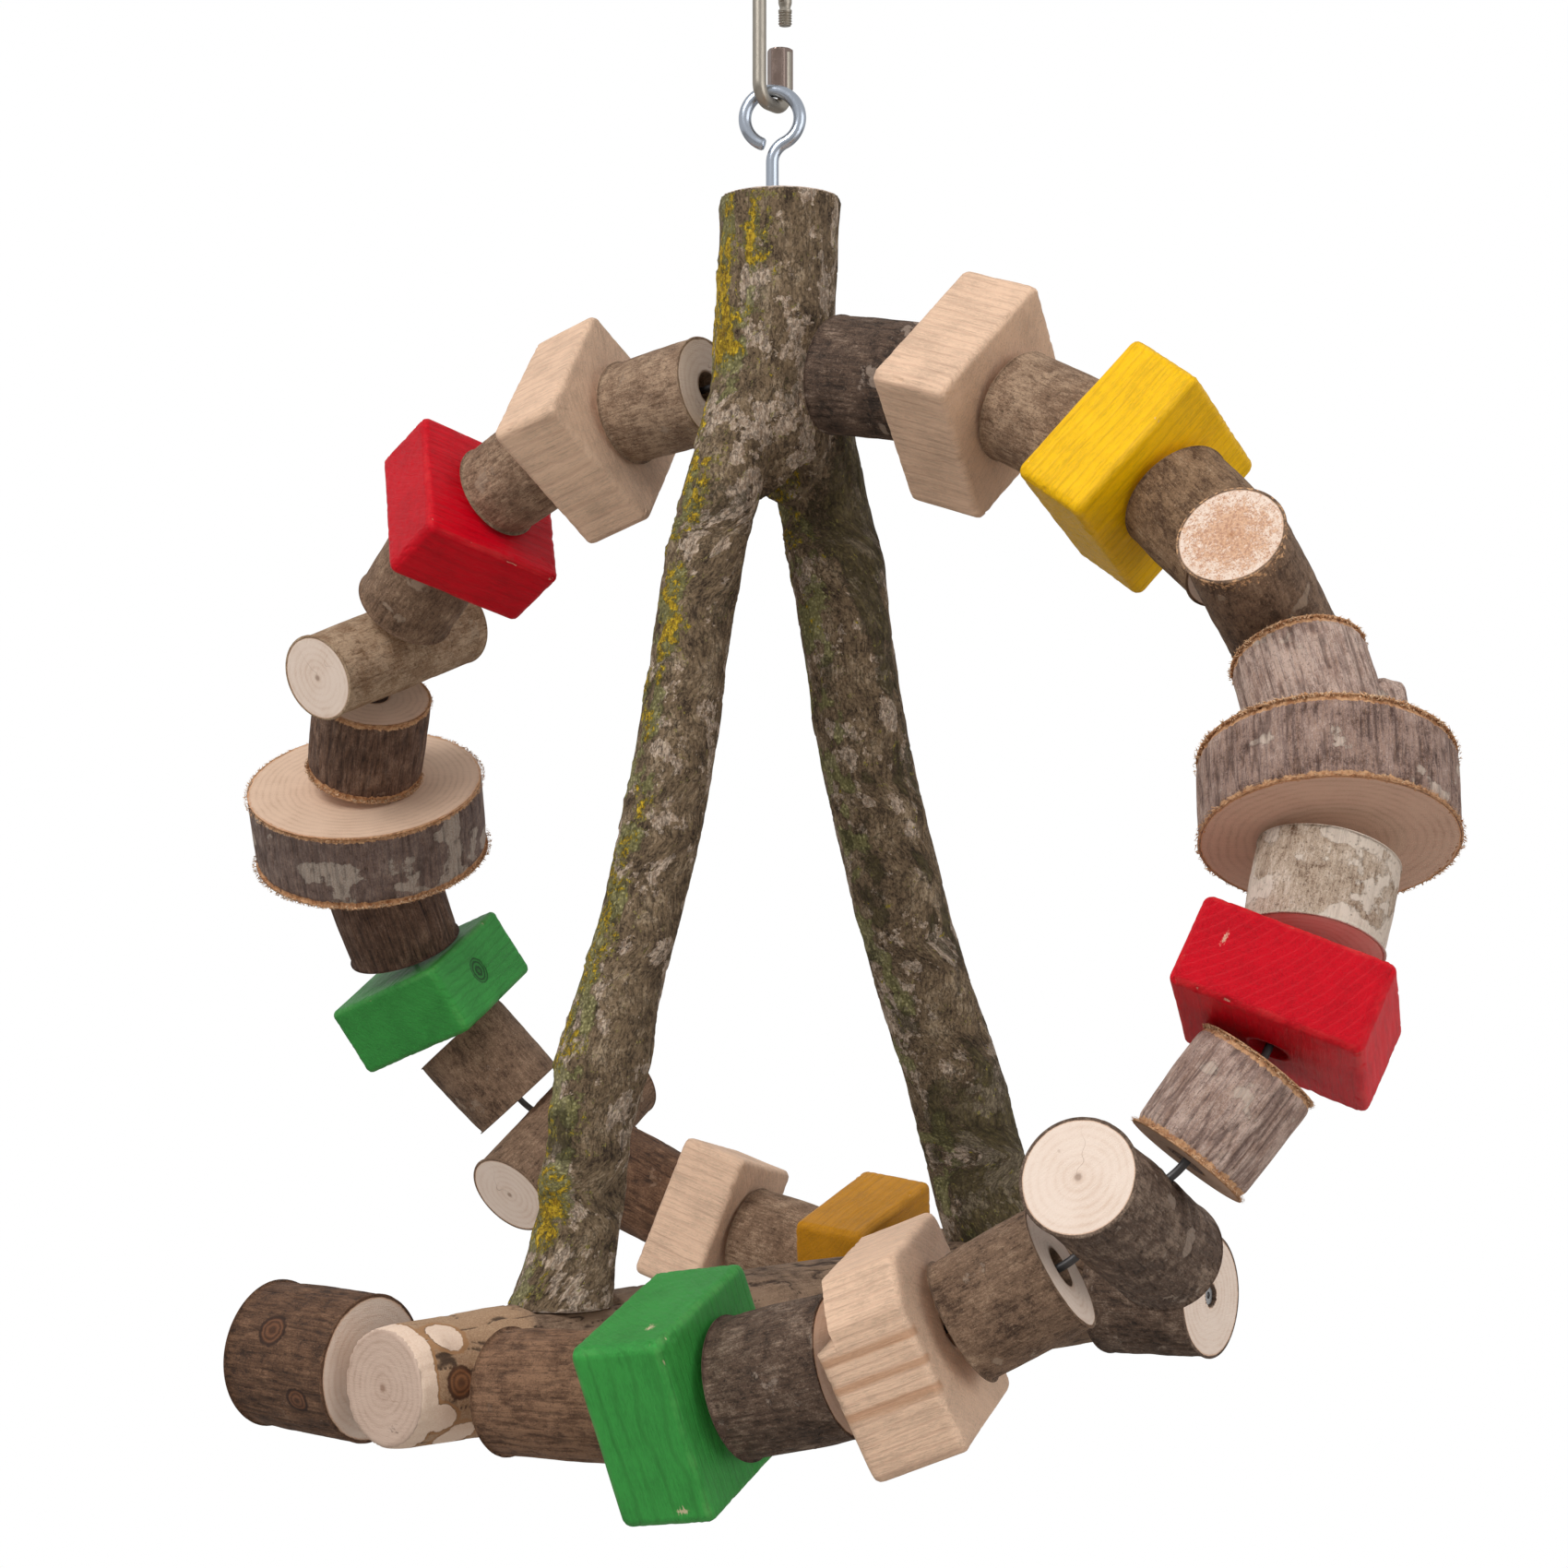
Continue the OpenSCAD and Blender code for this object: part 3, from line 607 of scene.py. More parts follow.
SAWN_ENDS = ((242, 222, 206), (214, 182, 158))
SAWN_PALE, SAWN_WARM = (tint(*tone) for tone in SAWN_ENDS)
FIBRE = tint(190, 122, 66)


def sawn_face(f, own, spot, pale=SAWN_PALE, warm=SAWN_WARM):
    """End grain: rings about the pith, a darker heart, short radial checks and the saw's scratches.
    Returns its colour and its height."""
    x, y, _ = f.parts(own)
    bend = f.noise(spot, 0.06, 2.0)
    radius = (x * x + y * y).root()
    rings = (radius * 2.6 + bend * 9.0).sine() * 0.5 + 0.5
    pores = f.noise(spot, 2.4, 3.0, 0.7)
    scratches = f.noise(f.stretch(spot, 1.4, 0.09, 0.4), 1.6, 3.0, 0.7)
    heart = 1 - radius.step(0.0, 9.0)
    pith = 1 - radius.step(0.5, 1.5)
    faint = f.noise(spot, 0.09, 3.0)
    tone = (rings * rings * faint * 0.34 + pores * 0.5 + (scratches - 0.5) * 0.5 + heart * 0.15
            + (faint - 0.5) * 0.5)
    colour = f.blend(tone.step(0.1, 1.0), pale, warm)
    split = (y.math("ARCTAN2", y, x) * 0.5 + bend * 7.0).sine().size()
    check = (1 - split.step(0.0, 0.05)) * (1 - radius.step(3.0, 15.0))
    colour = f.blend(check * 0.55, colour, tint(132, 92, 66))
    colour = f.blend(pith * 0.6, colour, tint(120, 82, 56))
    return colour, pores * 0.5 + scratches * 0.5


def lay_knot(f, knot, wander, rim, heart):
    """Lays a knot on the colour, dark at its rim and ringed inside."""
    inside = (knot + (wander - 0.5) * 0.25).step(0.30, 0.42)
    rings = (knot * 26.0 + wander * 3.0).sine() * 0.5 + 0.5
    ringed = f.blend(rings * 0.7, heart, rim)
    f.lay(inside * 0.95, f.blend(knot.step(0.40, 0.62), rim, ringed))


def bark_finish(name, tones, ridged, specks, sawn_tints):
    """Bark over sawn wood. The vertices carry the cut, the furrow's depth and the pale patches, and
    the knots, stains and bare places; the nodes break their borders up and add fibres, cracks and
    specks, and darken the deep furrows as painted shade."""
    f = Finish(name)
    dark, mid, light, patch = tones
    own, spot = f.read("own"), f.read("spot")
    sawn, furrow, pale = f.parts(f.read("marks"))
    knot, stain, bare = f.parts(f.read("figure"))
    streak = f.noise(f.drawn(spot, 0.16), 1.3, 7.0, 0.78)
    mottle = f.noise(spot, 0.12, 7.0, 0.74)
    fine = f.noise(spot, 2.2, 6.0, 0.8)
    apart = f.noise(spot, 0.004, 0.0)
    # The tone is a little darker where the furrows are deep: painted shade.
    tone = mottle * 0.42 + streak * 0.26 + fine * 0.32 - furrow * 0.03 + (apart - 0.5) * 0.2
    f.colour = f.blend(tone.step(0.39, 0.49), dark, mid)
    f.lay(tone.step(0.49, 0.60), light)
    flecks = f.noise(f.drawn(spot, 0.6), 1.7, 5.0, 0.75)
    f.lay((1 - flecks.step(0.34, 0.44)) * 0.6, shade(dark, 0.45))
    f.lay(flecks.step(0.56, 0.66) * 0.55, light)
    edge = f.noise(spot, 0.6, 7.0, 0.82)
    split = (f.noise(f.drawn(spot, 0.45), 0.7, 4.0, 0.65) - 0.5).size()
    cracks = (1 - split.step(0.0, 0.03)) * edge.step(0.45, 0.6)
    f.lay(cracks * 0.75, shade(dark, 0.35))
    patches = (pale + (edge - 0.5) * 1.5).step(0.5, 0.62)
    f.lay(patches * 0.75, f.blend(fine.step(0.36, 0.66), patch, light))
    ribs = f.noise(f.drawn(spot, 0.04), 1.1, 5.0, 0.72)
    f.lay((1 - ribs.step(0.38, 0.5)) * (0.15 + 0.4 * ridged), dark)
    groove = (1 - (ribs - 0.52).size().step(0.0, 0.045)) * flecks.step(0.36, 0.5)
    f.lay(groove * ridged * 0.55, tint(168, 126, 96))
    # Painted shade: the carved furrows are darkened in colour where they are deep, on top of the
    # shadow of their relief.
    deep = (furrow * (fine + 0.5)).step(0.4, 1.0)
    f.lay(deep * (0.25 + 0.3 * ridged), shade(dark, 0.7))
    if specks:
        dots = 1 - f.cells(spot, 0.55).step(0.05, 0.22)
        f.lay(dots * specks, shade(dark, 0.5))
    ragged = f.noise(spot, 0.6, 4.0, 0.7)
    lay_knot(f, knot, ragged, tint(52, 32, 22), tint(122, 80, 54))
    inner = (stain * (1 - sawn) + (ragged - 0.5) * 1.1).step(0.5, 0.62)
    f.lay(inner * 0.9, f.blend(ragged.step(0.35, 0.65), tint(180, 120, 74), tint(238, 188, 140)))
    stripped = (bare + (edge - 0.5) * 0.7).step(0.5, 0.56)
    f.lay(stripped * 0.9, f.blend(streak.step(0.35, 0.7), SAWN_PALE, SAWN_WARM))
    bark = f.colour
    f.colour, saw = sawn_face(f, own, spot, *sawn_tints)
    rim = (sawn + (edge - 0.5) * 0.5).step(0.3, 0.5)
    torn = rim * (1 - (sawn + (fine - 0.5) * 0.5).step(0.5, 0.75))
    wander = f.noise(spot, 0.45, 4.0, 0.7)
    fuzz = (stain + (fine - 0.5) * 2.6 + (wander - 0.5) * 1.4).step(0.62, 0.8)
    f.lay(fuzz * 0.8, f.blend(streak.step(0.4, 0.6), tint(168, 104, 66), tint(222, 172, 130)))
    f.colour = f.blend(rim, bark, f.colour)
    frayed = f.blend(fine.step(0.4, 0.6), FIBRE, tint(226, 178, 130))
    f.lay(torn * (0.45 + 0.4 * ridged), frayed)
    height = (streak * 0.45 + fine * 0.35 + flecks * 0.2 + ribs * (0.1 + 0.4 * ridged)
              + patches * 0.12 + knot * 0.4) * (1 - rim) + saw * rim * 0.35
    return f.close(0.72 + (fine - 0.5) * 0.25, height, 1.0, Specular_IOR_Level=0.35)


def fork_finish():
    """The forked branch's bark: grey-brown, with pinkish pale patches, crusts of yellow lichen and
    dark green moss, which the vertices carry as a second set of marks. The moss mark also holds
    painted shade that darkens the right leg, and the furrows are darkened as painted shade."""
    f = Finish("fork bark")
    own, spot = f.read("own"), f.read("spot")
    sawn, furrow, pale = f.parts(f.read("marks"))
    gold, moss_and_shade, crust = f.parts(f.read("growth"))
    streak = f.noise(f.drawn(spot, 0.1), 1.0, 7.0, 0.76)
    mottle = f.noise(spot, 0.1, 7.0, 0.72)
    fine = f.noise(spot, 1.3, 7.0, 0.8)
    tone = mottle * 0.46 + streak * 0.26 + fine * 0.28
    f.colour = f.blend(tone.step(0.40, 0.50), tint(64, 49, 36), tint(132, 110, 84))
    f.lay(tone.step(0.50, 0.60), tint(182, 160, 132))
    flecks = f.noise(f.drawn(spot, 0.5), 2.4, 5.0, 0.75)
    f.lay((1 - flecks.step(0.32, 0.43)) * 0.6, tint(40, 31, 23))
    edge = f.noise(spot, 0.4, 8.0, 0.85)
    grain = f.noise(f.drawn(spot, 0.6), 0.9, 6.0, 0.8)
    blotch = f.noise(spot, 0.15, 8.0, 0.66)
    patches = (pale * 0.8 + (blotch - 0.5) * 4.4 + (edge - 0.5) * 0.8).step(0.46, 0.58)
    f.lay(patches * 0.8, f.blend(grain.step(0.36, 0.6), tint(152, 126, 104), tint(230, 208, 186)))
    split = (f.noise(f.drawn(spot, 0.5), 0.5, 5.0, 0.7) - 0.5).size()
    cracks = (1 - split.step(0.0, 0.035)) * grain.step(0.4, 0.55)
    f.lay(cracks * 0.6, tint(44, 34, 26))
    # Painted shade: the carved furrows are darkened in colour where they are deep.
    f.lay((furrow * (fine + 0.5)).step(0.4, 1.0) * 0.45, tint(40, 31, 24))
    scales = f.cells(spot, 0.75).step(0.1, 0.5)
    crusts = (crust + gold * 0.35 + (edge - 0.5) * 2.6).step(0.56, 0.68)
    f.lay(crusts * 0.8, f.blend(scales, tint(196, 190, 132), tint(130, 126, 78)))
    # The moss mark also holds painted shade on the right leg, so this layer darkens that leg too.
    moss_and_shade_mask = (moss_and_shade + (edge - 0.5) * 2.0).step(0.5, 0.68)
    f.lay(moss_and_shade_mask * 0.7, f.blend(grain.step(0.35, 0.66), tint(42, 38, 22), tint(104, 94, 52)))
    clump = (f.noise(spot, 0.28, 6.0, 0.72) - 0.5) * 3.6
    olive = (gold * 0.75 + clump + (grain - 0.5) * 1.0).step(0.4, 0.56)
    f.lay(olive * 0.75, f.blend(grain.step(0.4, 0.6), tint(92, 84, 44), tint(176, 168, 96)))
    golds = (gold * 0.7 + clump + (grain - 0.5) * 2.2).step(0.68, 0.8)
    bright = (grain * 0.8 + fine * 0.4).step(0.5, 0.72)
    f.lay(golds * 0.9, f.blend(bright, tint(150, 112, 24), tint(244, 204, 40)))
    wood, _ = sawn_face(f, own, spot)
    f.lay(sawn.step(0.35, 0.6), wood)
    height = (streak * 0.4 + fine * 0.5 + grain * 0.4 + golds * 0.5 + crusts * 0.3 + moss_and_shade_mask * 0.5
              - cracks * 0.4)
    return f.close(0.82 + (fine - 0.5) * 0.2, height, 1.1, Specular_IOR_Level=0.3)


def perch_finish():
    """The perch: thin grey-brown bark over tan inner bark, bare pale wood where it is cut or
    peeled, and painted shade in its furrows."""
    f = Finish("perch bark")
    own, spot = f.read("own"), f.read("spot")
    sawn, furrow, bare = f.parts(f.read("marks"))
    knot, tan, _ = f.parts(f.read("figure"))
    streak = f.noise(f.drawn(spot, 0.18), 0.9, 7.0, 0.74)
    mottle = f.noise(spot, 0.09, 6.0, 0.65)
    fine = f.noise(spot, 1.8, 6.0, 0.78)
    tone = mottle * 0.5 + fine * 0.25 + streak * 0.25
    f.colour = f.blend(tone.step(0.38, 0.56), tint(92, 70, 54), tint(152, 124, 100))
    f.lay((fine * 0.5 + streak * 0.5).step(0.52, 0.66) * 0.6, tint(186, 162, 138))
    f.lay((tan + (mottle - 0.5) * 1.2).step(0.4, 0.7) * 0.8,
          f.blend(fine.step(0.35, 0.65), tint(172, 132, 98), tint(206, 172, 138)))
    # Painted shade: the carved furrows are darkened in colour.
    f.lay(furrow.step(0.25, 1.0) * 0.85, tint(48, 30, 20))
    peel = bare + (f.noise(spot, 0.3, 5.0, 0.6) - 0.5) * 0.3
    peeled = peel.step(0.52, 0.56)
    f.lay(peel.step(0.36, 0.42), tint(176, 132, 92))
    f.lay(peeled, f.blend(fine.step(0.3, 0.7), tint(236, 212, 192), tint(222, 192, 168)))
    lay_knot(f, knot, f.noise(spot, 0.6, 4.0, 0.7), tint(78, 46, 26), tint(150, 98, 60))
    wood, saw = sawn_face(f, own, spot, tint(206, 180, 162), tint(166, 136, 118))
    rim = sawn.step(0.35, 0.6)
    f.lay(rim, wood)
    height = ((streak * 0.5 + fine * 0.5) * (1 - peeled * 0.8) + saw * rim * 0.3 - peeled * 0.4)
    return f.close(0.72 + (fine - 0.5) * 0.2, height, 0.8, Specular_IOR_Level=0.35)


def fibre_finish():
    """Torn inner bark, from orange-brown to straw."""
    f = Finish("fibre")
    patches = f.noise(f.node("TexCoord").outputs["Object"], 700.0, 4.0, 0.7)
    f.colour = f.blend(patches.step(0.35, 0.65), tint(210, 150, 98), tint(250, 214, 174))
    return f.close(0.8 + (patches - 0.5) * 0.2)


def block_finish(name, deep, light, grain, stain):
    """A sawn block, bare or stained. The grain runs along the axis that is scaled down most; its
    lines are narrow and bent a little. Worn edges and chips show the bare wood."""
    f = Finish(name)
    bare = tint(238, 206, 176)
    spot = f.read("spot")
    worn, across, chip = f.parts(f.read("marks"))
    knot, band, scar = f.parts(f.read("figure"))
    x, y, z = f.parts(f.read("own"))
    from_heart = (x + 62, z + 47) if stain else (x + 62, y + 47)
    apart = from_heart[0] * from_heart[0] + from_heart[1] * from_heart[1]
    bend = f.noise(spot, 0.03, 3.0)
    along = f.stretch(spot, *grain)
    lines = f.noise(along, 1.5, 6.0, 0.75, 0.3)
    bands = f.noise(along, 0.3, 3.0, 0.55, 0.4)
    flecks = f.noise(f.stretch(spot, *(min(1.0, g * 5) for g in grain)), 2.4, 5.0, 0.75)
    mottle = f.noise(spot, 0.07, 5.0, 0.65)
    years = (apart.root() * 2.3 + bend * 10.0 + lines * 1.2).sine()
    late = years.step(0.5, 1.0) * (flecks.step(0.42, 0.6) * 0.7 + 0.3)
    tone = lines * 0.46 + bands * 0.12 + flecks * 0.42 + (mottle - 0.5) * 0.4
    f.colour = f.blend(tone.step(0.36, 0.58), deep, light)
    late_wood = tuple(c * share for c, share in zip(deep, (0.72, 0.5, 0.5)))
    f.lay(late * (0.3 if stain else 0.24), late_wood)
    f.lay(across * (0.1 if stain else 0.06), shade(deep, 0.6))
    f.lay((1 - lines.step(0.32, 0.42)) * (0.12 if stain else 0.3), shade(deep, 0.55))
    rubbed = (worn + (mottle - 0.5) * 1.6).step(0.55, 1.3)
    f.lay(rubbed * (0.06 if stain else 0.15), bare)
    scars = (scar + (flecks - 0.5) * 2.2 + (lines - 0.5) * 1.4).step(0.62, 0.8)
    f.lay(scars * 0.7, bare)
    f.lay((chip + (flecks - 0.5) * 0.9).step(0.6, 0.85) * (0.7 if stain else 0.15), bare)
    f.lay((band + (lines - 0.5) * 1.6).step(0.3, 1.1) * 0.6, tint(178, 124, 84))
    wander = f.noise(spot, 0.6, 3.0, 0.6)
    inside = (knot + (wander - 0.5) * 0.12).step(0.36, 0.44)
    rings = (knot * 24.0 + wander * 4.0).sine() * 0.5 + 0.5
    dark = tuple(c * 0.14 + 0.004 for c in deep)
    f.lay(inside * 0.9, f.blend(rings * knot.step(0.4, 0.55), dark, deep))
    height = (lines * 0.5 + flecks * 0.4 + bands * 0.3 - chip * 0.3 - late * 0.2
              + across * flecks * 0.6)
    rough = 0.38 + (flecks - 0.5) * 0.3 + (0.0 if stain else 0.22)
    return f.close(rough, height, 0.4, Specular_IOR_Level=0.16 if stain else 0.36)


def metal_finish(name, colour, roughness, dirt=0.2):
    """Plated or drawn steel: nearly even, with fine scratches and slightly dull patches."""
    f = Finish(name)
    place = f.node("TexCoord").outputs["Object"]
    scratches = f.noise(f.drawn(place, 0.15), 1800.0, 3.0, 0.6)
    dull = f.noise(place, 160.0, 4.0, 0.6).step(0.45, 0.75)
    f.colour = f.blend(dull * dirt, colour, shade(colour, 0.45))
    rough = roughness + dull * 0.12 + (scratches - 0.5) * 0.12
    return f.close(rough, scratches, 0.03, Metallic=1.0)


# The threaded pieces

class Look:
    """How one kind of bark is carved: depth, width and length of its furrows and their share of the
    bark, height of its lumps, share of pale patches and how frayed its rims are."""

    def __init__(self, furrow, width, length, share, lump, patch, fray):
        self.furrow, self.width, self.length, self.share = furrow, width, length, share
        self.lump, self.patch, self.fray = lump, patch, fray


GREY_LOOK = Look(0.28, 1.3, 7.0, 0.28, 0.6, 0.0, 0.2)

# Each bark: its slot, how it is carved, its dark, middle and light tones and its pale patches, the
# two tones of its sawn ends, how ridged it is, and the weight of its dark specks
BARKS = {
    "dark": ("dark_bark", Look(0.45, 1.9, 7.0, 0.30, 0.8, 0.22, 0.15),
             ((46, 35, 28), (96, 75, 61), (160, 137, 118), (178, 160, 146)), SAWN_ENDS, 0.15, 0.0),
    "bark": ("grey_bark", GREY_LOOK,
             ((78, 57, 42), (138, 109, 86), (190, 160, 132), (160, 142, 126)), SAWN_ENDS, 0.1, 0.0),
    "tan": ("grey_bark", GREY_LOOK,
            ((88, 62, 42), (150, 118, 88), (200, 172, 142), (180, 160, 138)), SAWN_ENDS, 0.1, 0.0),
    "ridged": ("ridged_bark", Look(0.55, 1.5, 24.0, 0.5, 0.5, 0.16, 0.7),
               ((92, 68, 60), (168, 140, 128), (218, 192, 178), (222, 208, 190)),
               ((214, 180, 156), (170, 134, 112)), 0.8, 0.0),
    "pale": ("pale_bark", Look(0.25, 2.0, 5.0, 0.25, 0.6, 0.62, 0.5),
             ((112, 82, 60), (196, 174, 152), (236, 220, 204), (244, 230, 214)),
             SAWN_ENDS, 0.2, 0.6),
    "brown": ("brown_bark", Look(0.35, 1.9, 18.0, 0.45, 0.5, 0.05, 0.2),
              ((46, 30, 22), (104, 73, 52), (154, 116, 88), (150, 124, 104)), SAWN_ENDS, 0.3, 0.0),
    "umber": ("ridged_bark", Look(0.5, 1.4, 24.0, 0.5, 0.5, 0.0, 0.6),
              ((48, 34, 28), (98, 72, 58), (144, 116, 98), (140, 116, 100)),
              ((222, 192, 168), (182, 148, 124)), 0.6, 0.0),
    "mottled": ("pale_bark", Look(0.45, 1.5, 16.0, 0.45, 0.5, 0.52, 0.6),
                ((74, 58, 52), (120, 100, 92), (160, 140, 128), (212, 200, 184)),
                ((224, 192, 166), (184, 148, 122)), 0.5, 0.3),
}
FRAYED = {"right_log_7", "right_disc_8", "left_log_7", "left_disc_8", "right_log_11"}
SPLINTERS_PER_MM = 44

# Each row: node, form, finish, turn about the wire in degrees
PIECES = [
    ("right_log_1", "log", "dark", 0), ("right_block_2", "block", "beech", 47),
    ("right_log_3", "log", "bark", 0), ("right_block_4", "block", "yellow", 62),
    ("right_log_5", "log", "tan", 0), ("right_cross_log_6", "cross", "bark", 227),
    ("right_log_7", "stub", "ridged", 100), ("right_disc_8", "disc", "ridged", 0),
    ("right_log_9", "log", "pale", 0), ("right_block_10", "block", "red", 47),
    ("right_log_11", "log", "ridged", 0), ("right_cross_log_12", "cross", "dark", 120),
    ("right_log_13", "log", "bark", 0), ("right_block_14", "planed", "beech", 169),
    ("right_log_15", "log", "dark", 0), ("right_block_16", "block", "green", 72),
    ("right_log_17", "log", "brown", 0), ("right_end_log_18", "end", "brown", 0),
    ("left_log_1", "log", "bark", 0), ("left_block_2", "block", "beech", 43),
    ("left_log_3", "log", "bark", 0), ("left_block_4", "block", "red", 20),
    ("left_log_5", "log", "bark", 0), ("left_cross_log_6", "cross", "tan", 62),
    ("left_log_7", "log", "umber", 0), ("left_disc_8", "disc", "mottled", 0),
    ("left_log_9", "log", "umber", 0), ("left_block_10", "block", "green", 51),
    ("left_log_11", "log", "bark", 0), ("left_cross_log_12", "cross", "bark", 312),
    ("left_log_13", "log", "brown", 0), ("left_block_14", "block", "beech", 79),
    ("left_log_15", "log", "bark", 0), ("left_block_16", "block", "ochre", 17),
    ("left_log_17", "log", "bark", 0), ("left_end_log_18", "end", "dark", 0),
]
SEEDS = {row[0]: 11 * k + 5 for k, row in enumerate(PIECES)}

# What sets single pieces apart: kind, middle in the piece's own millimetres, reach along each axis
FEATURES = {
    "right_end_log_18": [("knot", (-11, 19, 3), (5, 5, 5)), ("knot", (8, 20, -9), (4, 4, 4))],
    "right_log_15": [("stain", (-12, -17, 0), (9, 9, 16))],
    "left_block_10": [("knot", (-27, -2, -0.5), (6, 4.5, 5.5))],
    "right_block_16": [("bare", (15, 27, -6), (2.5, 2, 2)), ("bare", (27, -22, -6), (1.4, 1.4, 3))],
    "right_block_10": [("bare", (-17, 27, -3), (0.8, 0.8, 3))],
    "right_cross_log_6": [("stain", (37, 0, 0), (12, 20, 20)),
                          ("stain", (-37, 0, 0), (12, 20, 20))],
}


def figure_of(node, own):
    """Knots, stains and bare places of a piece at each point, as three fields."""
    fields = {kind: np.zeros(len(own)) for kind in ("knot", "stain", "bare")}
    for kind, middle, reach in FEATURES.get(node, ()):
        fields[kind] = np.maximum(fields[kind], blob(own, middle, reach))
    return np.stack(list(fields.values()), 1)


def slack(seed):
    """A far-off corner of the random fields for each piece, so that no two pieces look alike."""
    return np.array([37.0, -53.0, 71.0]) * seed


def off_bore(points):
    """0 at the bore and 1 a little away from it."""
    return ramp(np.hypot(points[:, 0], points[:, 1]), BORE_MOUTH + 1, BORE_MOUTH + 3)


def carve(piece, place, node, look, radius, half, axis):
    """Presses the bark in: furrows are sharp valleys of a field stretched along the log's axis,
    lumps are a slow field, and both fade out on the sawn ends. Only inward, so that the CAD's box
    holds. Then stores the marks that the material reads."""
    seed = SEEDS[node]
    own = place.back(points_of(piece))
    lying = np.roll(own, 2 - axis, 1)
    facing_end = np.abs(np.roll(place.aim(normals_of(piece)), 2 - axis, 1)[:, 2])
    spot = lying + slack(seed)
    out = np.hypot(lying[:, 0], lying[:, 1])
    from_end = half - np.abs(lying[:, 2])
    side = ramp(1 - facing_end, 0.15, 0.5) * off_bore(lying)
    near_end = ramp(from_end, 0.2, 2.0)
    furrow = ramp(creases(spot, (look.width, look.width, look.length), seed), 1 - look.share, 1.0)
    lump = layers(spot, (9, 9, 11), seed + 3)
    frayed = (1 - near_end) * look.fray * layers(spot, (1.3, 1.3, 2.5), seed + 5, 2)
    figure = figure_of(node, own)
    fringe = ramp(from_end, 4.2, 0.2) * (1.0 if node in FRAYED else 0.35 * look.fray)
    figure[:, 1] = np.maximum(figure[:, 1], fringe * ramp(radius - out, 3.4, 1.8))
    press(piece, side * (furrow * look.furrow * (0.4 + 0.6 * near_end) + (1 - lump) * look.lump
                         + frayed * 1.2 + ramp(figure[:, 1], 0.3, 0.7) * 0.5))
    rind = BARK_T * (0.8 + 0.5 * layers(spot, (4, 4, 4), seed + 9))
    flat = ramp(facing_end, 0.6, 0.9) * ramp(from_end, 2.5, 0.8)
    sawn = flat * ramp(radius - out - rind, -0.5, 0.8)
    cloudy, share = layers(spot, (11, 11, 8), seed + 21, 4), look.patch * 0.4
    pale = ramp(cloudy, 0.62 - share, 0.9 - share)
    mark(piece, own=lying, spot=spot, marks=(sawn, furrow * side, pale), figure=figure)


def splinters(node, place, radius, half, slot, material):
    """Torn fibres round both sawn rims of a frayed log: thin three-sided spikes in one mesh, each
    from a random place near the rim, leaning out and along by random amounts, all within the CAD's
    radius and length."""
    rng = np.random.default_rng(SEEDS[node])
    count = int(radius * SPLINTERS_PER_MM)
    angle = rng.uniform(0, 2 * np.pi, count)
    end = rng.choice([-1.0, 1.0], count)
    depth = rng.uniform(0.5, 2.0, count)
    long = np.minimum(rng.gamma(2.0, 0.75, count), 3.6)
    wide = rng.uniform(0.12, 0.42, count)[:, None]
    swing = rng.uniform(-0.9, 0.9, count)
    out = np.stack([np.cos(angle), np.sin(angle), 0 * angle], 1)
    around = np.stack([-np.sin(angle), np.cos(angle), 0 * angle], 1)
    up = end[:, None] * np.array([0.0, 0.0, 1.0])
    root = out * (radius - depth)[:, None] + (half - rng.uniform(0.2, 1.2, count))[:, None] * up
    tip = root + (out * rng.uniform(0.1, 0.8, count)[:, None] + around * swing[:, None]
                  + up * rng.uniform(0.0, 0.8, count)[:, None]) * long[:, None]
    reach = np.hypot(tip[:, 0], tip[:, 1])
    tip[:, :2] *= np.minimum(1, (radius - 0.05) / reach)[:, None]
    tip[:, 2] = np.clip(tip[:, 2], 0.1 - half, half - 0.1)
    corners = [root + around * wide, root - around * wide, root - out * wide - up * wide, tip]
    points = np.stack(corners, 1).reshape(-1, 3)
    base = np.arange(count)[:, None] * 4
    faces = np.concatenate([base + face for face in ([0, 1, 3], [1, 2, 3], [2, 0, 3], [0, 2, 1])])
    mesh = bpy.data.meshes.new(node + "_fibres")
    mesh.from_pydata(place.out(points), [], faces.tolist())
    mesh.update()
    piece = link(node + "_fibres", mesh)
    turn_outward(piece)
    seat(piece, node, slot, material)


# Each form of log: how its rings are made, the radius of its rims in millimetres, the points round
# it, the rings across a sawn end and along its side, and how its side swells
FORMS = {
    "log": (bored_grid, 0.7, 168, (12, 40), swollen(0.35, 0.5)),
    "disc": (bored_grid, 0.7, 224, (22, 40), swollen(0.35, 0.5)),
    "stub": (bored_grid, 0.7, 168, (12, 44), swollen(0.3, 0.4)),
    "end": (log_grid, 0.8, 176, (14, 42), swollen(0.35, 0.5)),
    "cross": (log_grid, 0.8, 152, (13, 84), swollen(0.3, 0.5)),
}

# The same for the blocks, whose side is straight, with the radius of their corners
BLOCK_RIM, BLOCK_COLUMNS, BLOCK_ROWS, BLOCK_BEND = 2.4, 216, (20, 24), 3.6

# Millimetres: the pocket for the crimp and how far a tool sticks out; then the tools' points round
POCKET_DEPTH, POCKET_R, OVERLONG, TOOL_SIDES = 9, 4.0, 3, 40


def own_corners(node, place):
    """The vertices of a CAD node in a piece's own millimetres."""
    return place.back(corners_of(node))


def sizes_of(node, place):
    """Half length along the wire and outer radius of a threaded piece, measured on its solid."""
    own = own_corners(node, place)
    return np.abs(own[:, 2]).max(), np.hypot(own[:, 0], own[:, 1]).max()


